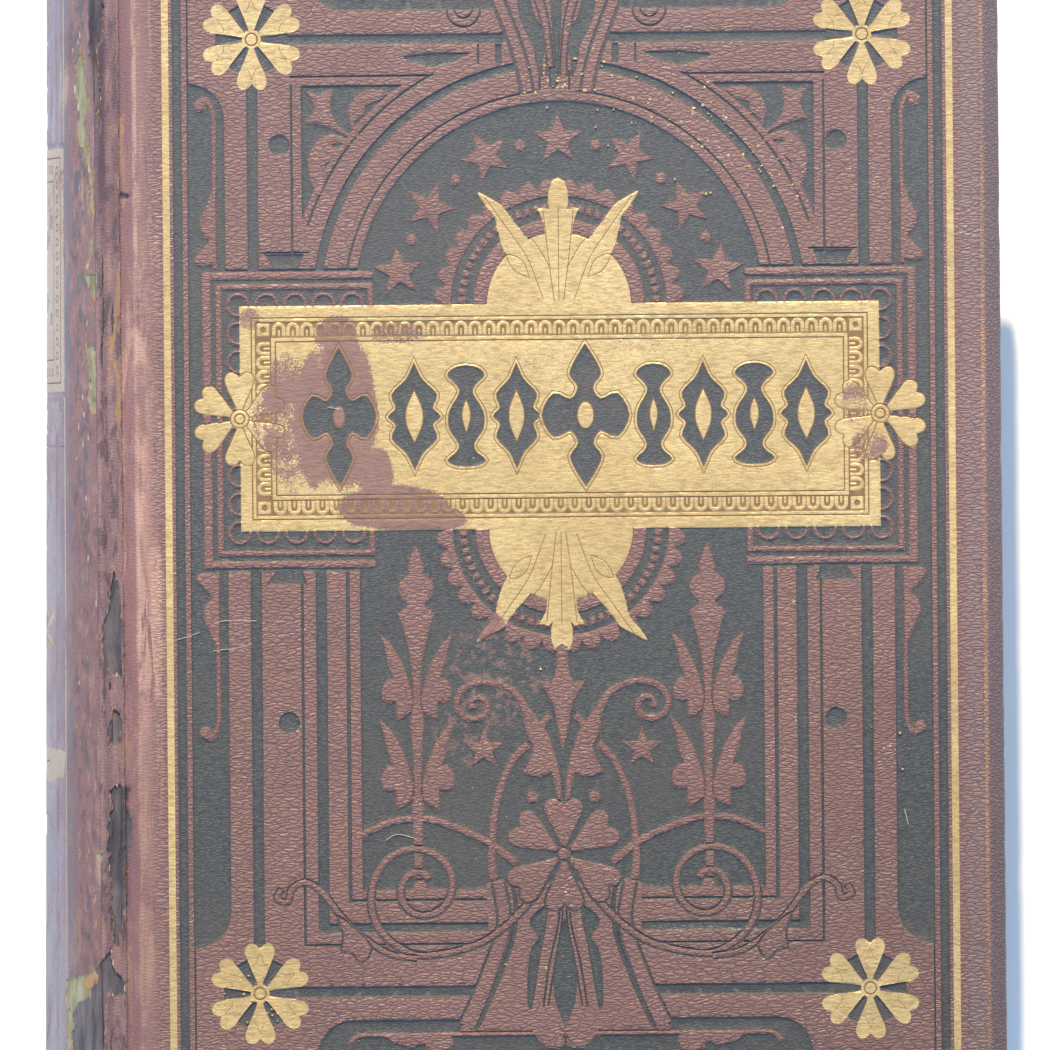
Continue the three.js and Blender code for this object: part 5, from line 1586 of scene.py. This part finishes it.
def joint_art(front):
    art = Art()
    r = np.random.default_rng(23 if front else 29)
    if front:
        for t in TEARS:
            part = [(on_joint_u(x), v) for x, v in t]
            art.add("tear", part)
        for t in PALE_STRIPS:
            art.add("pale", [(on_joint_u(x), v) for x, v in t if x > -111.0] or [(9, 0), (9.1, 0), (9, 0.1)])
        for t in FRAYED:
            art.add("fray", [(on_joint_u(x), v) for x, v in t])
    for _ in range(8):
        v = r.uniform(-150, 150)
        long = r.uniform(3, 16)
        u = r.uniform(-2.2, 1.6)
        art.add("line",
                rough_edge([(u, v), (u + 0.5, v + long * 0.4), (u + 0.25, v + long), (u - 0.2, v + long * 0.5)],
                           0.1, int(r.integers(1e6)), 0.9))
    if front:
        for t in TEARS:
            for x, v in t[::3]:
                u, turn = on_joint_u(x) + r.normal(0, 0.15), r.uniform(0, 3)
                if abs(u) < JOINT_HALF - 0.6:
                    art.add("fray" if r.random() < 0.7 else "nick",
                            [(u + r.uniform(0.1, 0.3) * math.cos(turn + 1.26 * i),
                              v + r.uniform(0.3, 1.3) * math.sin(turn + 1.26 * i)) for i in range(5)])
    return art


def span_points(z):
    return (-0.1101, 0.0, z), (-0.1054, 0.0, z)


shell("front_joint_skin", joint_art(True), JOINT_HALF, 157.5, on_joint, -0.9,
      [JOINT, DARK, GOLD, TRACE, NICK, TORN, PALE, FRAY], None, "front_joint_leather",
      grid=0.8, lip=0.1, joined=("text_block", "front_cover", *span_points(0.0822)))
shell("back_joint_skin", joint_art(False), JOINT_HALF, 157.5,
      lambda u, v, d: (lambda q: (q[0], q[1], THICK - q[2]))(on_joint(u, -v, d)), -0.9,
      [JOINT, DARK, GOLD, TRACE, NICK, TORN, PALE, FRAY], None, "back_joint_leather",
      grid=1.0, lip=0.1, joined=("back_cover", "text_block", (-0.1054, 0.0, 0.0028), (-0.1101, 0.0, 0.0028)))


def hinge_strip(name, node, flip, joined):
    def at(i, j, z):
        q = (-107.8 + 4.3 * i, -152 + 304 * j, z + 0.012 * math.sin(i * 60) * math.sin(j * 700))
        return (q[0], q[1], THICK - q[2]) if flip else q
    plate(name, 14, 200, lambda i, j: at(i, j, 78.235), lambda i, j: at(i, j, 78.06), [CLOTH], None, node,
          joined)


hinge_strip("front_hinge_strip", "front_inner_hinge", False,
            ("text_block", "front_cover", (-0.1076, 0.0, 0.078), (-0.1040, 0.0, 0.078)))
hinge_strip("back_hinge_strip", "back_inner_hinge", True,
            ("back_cover", "text_block", (-0.1040, 0.0, 0.007), (-0.1076, 0.0, 0.007)))


# ---------------------------------------------------------------- boards and pastedowns
def layered(name, x0, x1, hy, z0, z1, layers, material, body, node, slot_name, rough, r=2.0, nx=40, ny=60, extra=None):
    """A slab whose edges show its layers."""
    verts, faces = [], []
    zs = []
    for k in range(layers):
        a, b = z0 + (z1 - z0) * k / layers, z0 + (z1 - z0) * (k + 1) / layers
        zs += [(a + 0.02, rough), (a + (b - a) * 0.3, 0.0), (a + (b - a) * 0.7, 0.0), (b - 0.02, rough)]
    for k, (z, inset) in enumerate(zs):
        pts = outline(x0 + inset, x1 - inset, hy - inset, r, nx, ny, 4)
        fuzz = waves(np.array([p[0] for p in pts]), np.array([p[1] for p in pts]), 9, 50 + k // 4) * rough
        for (x, y), w in zip(pts, fuzz):
            cx, cy = x - (x0 + x1) / 2, y
            verts.append((x - math.copysign(abs(w), cx) * (abs(cx) > (x1 - x0) / 2 - 3), y - math.copysign(abs(w), cy)
                          * (abs(cy) > hy - 3), z))
    n = len(outline(x0, x1, hy, r, nx, ny, 4))
    for k in range(len(zs) - 1):
        for i in range(n):
            j = (i + 1) % n
            faces.append((k * n + i, k * n + j, (k + 1) * n + j, (k + 1) * n + i))
    top = len(zs) - 1
    faces.append(tuple(range(n))[::-1])
    faces.append(tuple(top * n + i for i in range(n)))
    obj = make(name, verts, faces, [material], None, "flat", body)
    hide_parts(node)
    return obj


for side, low, high in (("front", 79.02, 83.98), ("back", 1.02, 5.98)):
    # the board keeps below the bevel of its leather
    verts, faces = [], []
    slope = []
    for k in range(14):
        z = low + (high - low) * k / 13
        up = (z - low) if side == "front" else (high - z)
        cut = max(0.0, (up - 2.1) / (high - low - 2.1)) * 4.6
        slope.append((z, cut + 0.05 * (k % 2)))
    base = outline(-103.9, 122.4, 157.9, 2.0, 40, 60, 4)
    n = len(base)
    for z, cut in slope:
        pts = outline(-103.9 + cut, 122.4 - cut, 157.9 - cut, 2.0, 40, 60, 4)
        fuzz = np.abs(waves(np.array([p[0] for p in pts]), np.array([p[1] for p in pts]) + z * 3, 6, 71)) * 0.08
        for (x, y), w in zip(pts, fuzz):
            verts.append((x - math.copysign(w, x - 9), y - math.copysign(w, y), z))
    for k in range(13):
        for i in range(n):
            j = (i + 1) % n
            faces.append((k * n + i, k * n + j, (k + 1) * n + j, (k + 1) * n + i))
    faces += [tuple(range(n))[::-1], tuple(13 * n + i for i in range(n))]
    obj = make(f"{side}_millboard", verts, faces, [BOARD], None, "flat", f"{side}_cover")
    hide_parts(f"{side}_board")


def pastedown(side):
    """Endpaper lining of a board, dipping over the turned-in leather."""
    def level(x, y):
        d = min(x + 93.0, 105.5 - x, 141.0 - abs(y))
        w = min(max((d + 1.5) / 3.0, 0.0), 1.0)
        return 0.42 * w * w * (3 - 2 * w)

    def at(i, j, under):
        x, y = -103.4 + 222.4 * i, -153 + 306 * j
        z = 78.02 + 0.008 * wiggle(i * 3 + j, 7, 12) + level(x, y) + (0.26 if not under else 0.0)
        return (x, y, z) if side == "front" else (x, y, THICK - z)
    obj = plate(f"{side}_pastedown_sheet", 90, 120, lambda i, j: at(i, j, side == "back"),
                lambda i, j: at(i, j, side == "front"), [ENDPAPER], f"{side}_cover", f"{side}_pastedown")
    return obj


pastedown("front")
pastedown("back")


# ---------------------------------------------------------------- leaves
def leaf(name, node, low, high, body, root, material, seed, start, end):
    def at(i, j, z):
        x, y = -105.6 + 223.1 * i, -152.5 + 305 * j
        edge = 0.25 * abs(wiggle(j, 3.5, seed)) * (i > 0.99) + 0.1 * abs(wiggle(j, 0.6, seed + 1)) * (i > 0.99)
        y -= math.copysign(0.2 * abs(wiggle(i, 4.0, seed + 2)), y) * (abs(y) > 150)
        r = 1.8
        dx, dy = max(0.0, x - (117.5 - r)), max(0.0, abs(y) - (152.5 - r))
        if dx > 0 and dy > 0 and math.hypot(dx, dy) > r:
            k = r / math.hypot(dx, dy)
            x, y = 117.5 - r + dx * k, math.copysign(152.5 - r + dy * k, y)
        return x - edge, y, z + 0.02 * wiggle(i + j, 9, seed)
    plate(name, 90, 70, lambda i, j: at(i, j, high - 0.03), lambda i, j: at(i, j, low + 0.03), [material], None, node,
          (root, body, start, end))


for name, node, low, body, material, seed in (
        ("front_flyleaf_sheet", "front_flyleaf", 77.6, "flyleaf", ENDPAPER, 101),
        ("frontispiece_sheet", "frontispiece_leaf", 77.2, "frontispiece", PLATE, 105),
        ("title_sheet", "title_leaf", 76.8, "title_page", TITLE, 109),
        ("family_record_sheet", "family_record_leaf", 76.4, "record_page", RECORD, 113)):
    leaf(name, node, low, low + 0.3, body, "text_block", material, seed, (-0.1058, 0.0, low * MM), (-0.0900, 0.0, low * MM))
leaf("back_flyleaf_sheet", "back_flyleaf", 7.1, 7.4, "rear_flyleaf", "back_cover", ENDPAPER, 117,
     (-0.1058, 0.0, 0.0072), (-0.0900, 0.0, 0.0072))


# ---------------------------------------------------------------- gatherings
def gathering(k):
    z0 = 7.5 + k * 4.914
    z1 = z0 + 4.814
    leaves = 12
    fold_r = SPINE_R - 4.4
    n_y, n_x = 46, 16
    zs = []
    for i in range(leaves):
        a, b = z0 + (z1 - z0) * i / leaves, z0 + (z1 - z0) * (i + 1) / leaves
        zs += [(a + 0.02, 1, i), (a + (b - a) * 0.5, 0, i), (b - 0.02, 1, i)]
    r = np.random.default_rng(300 + k)
    proud = r.uniform(0.0, 0.16, leaves)
    verts, faces, slots = [], [], []
    for z, groove, i in zs:
        span = (z - 42.5) / 35.0
        fore = 117.5 - 6.5 * (1 - min(1.0, span * span)) - 0.08 * groove - proud[i]
        off = abs(z - MID_Z)
        left = SPINE_X - math.sqrt(max(fold_r ** 2 - off ** 2, 0.0))
        from_end = min(z - z0, z1 - z)
        left += 1.1 * (1 - math.sqrt(max(0.0, 1 - (1 - min(from_end / 1.1, 1.0)) ** 2))) + 0.05
        h = 153.0 - 0.07 * groove - proud[(i * 5 + 3) % leaves] * 0.8
        pts = []
        for j in range(n_x):
            pts.append((left + (fore - left) * j / n_x, -h))
        for j in range(n_y):
            pts.append((fore, -h + 2 * h * j / n_y))
        for j in range(n_x):
            pts.append((fore - (fore - left) * j / n_x, h))
        for j in range(n_y):
            pts.append((left, h - 2 * h * j / n_y))
        wob = waves(np.array([p[0] for p in pts]), np.array([p[1] for p in pts]), 42, 400 + k * 13 + i) * 0.07
        rag = waves(np.array([p[0] for p in pts]), np.array([p[1] for p in pts]), 5, 900 + k * 13 + i) * 0.03
        for (x, y), w in zip(pts, np.abs(wob) + np.abs(rag)):
            verts.append((x - (w if x > fore - 0.5 else 0.0), y - math.copysign(w if abs(y) > h - 0.5 else 0.0, y), z))
    n = 2 * (n_x + n_y)
    for q in range(len(zs) - 1):
        for i in range(n):
            j = (i + 1) % n
            faces.append((q * n + i, q * n + j, (q + 1) * n + j, (q + 1) * n + i))
            slots.append(0 if i < 2 * n_x + n_y else 1)
    faces += [tuple(range(n))[::-1], tuple((len(zs) - 1) * n + i for i in range(n))]
    slots += [1, 1]
    obj = make(f"gathering_block_{k + 1:02d}", verts, faces, [EDGE, PAPER], slots, "flat", "text_block")
    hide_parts(f"gathering_{k + 1:02d}")


for k in range(14):
    gathering(k)


# ---------------------------------------------------------------- floor, light and camera
def floor_piece():
    s = Shade("pale_floor", specular=0.2)
    tone = s.noise(3, None, 2.0, 0.5)
    mat = s.finish(s.mix(s.span(tone, 0.3, 0.7), (0.90, 0.92, 0.95), (0.93, 0.94, 0.96)), 0.85)
    mesh = bpy.data.meshes.new("floor")
    w = 14.0
    mesh.from_pydata([(-w, -w, -0.0004), (w, -w, -0.0004), (w, w, -0.0004), (-w, w, -0.0004)], [], [(0, 1, 2, 3)])
    mesh.materials.append(mat)
    obj = bpy.data.objects.new("floor", mesh)
    bpy.context.scene.collection.objects.link(obj)


floor_piece()

world = bpy.data.worlds.new("studio")
world.use_nodes = True
background = world.node_tree.nodes["Background"]
background.inputs["Color"].default_value = (0.47, 0.69, 1.0, 1.0)
background.inputs["Strength"].default_value = 1.06
bpy.context.scene.world = world

sun_data = bpy.data.lights.new("key", "SUN")
sun_data.energy = 4.95
sun_data.angle = math.radians(1.2)
sun_data.color = (1.0, 0.81, 0.54)
sun = bpy.data.objects.new("key", sun_data)
sun.rotation_mode = "QUATERNION"
sun.rotation_quaternion = Vector((7.4, -116.5, -85.0)).to_track_quat("-Z", "Y")
bpy.context.scene.collection.objects.link(sun)

cam_data = bpy.data.cameras.new("camera")
cam_data.sensor_width = 36.0
cam_data.lens = 500.0
cam_data.clip_end = 100.0
cam = bpy.data.objects.new("camera", cam_data)
cam.location = (-0.0001, -0.0028, THICK * MM + 0.2711 / 2 / (18.0 / 500.0))
cam.rotation_euler = (0.0, 0.0, math.radians(-0.53))
bpy.context.scene.collection.objects.link(cam)
bpy.context.scene.camera = cam
bpy.context.scene.view_settings.view_transform = "Standard"
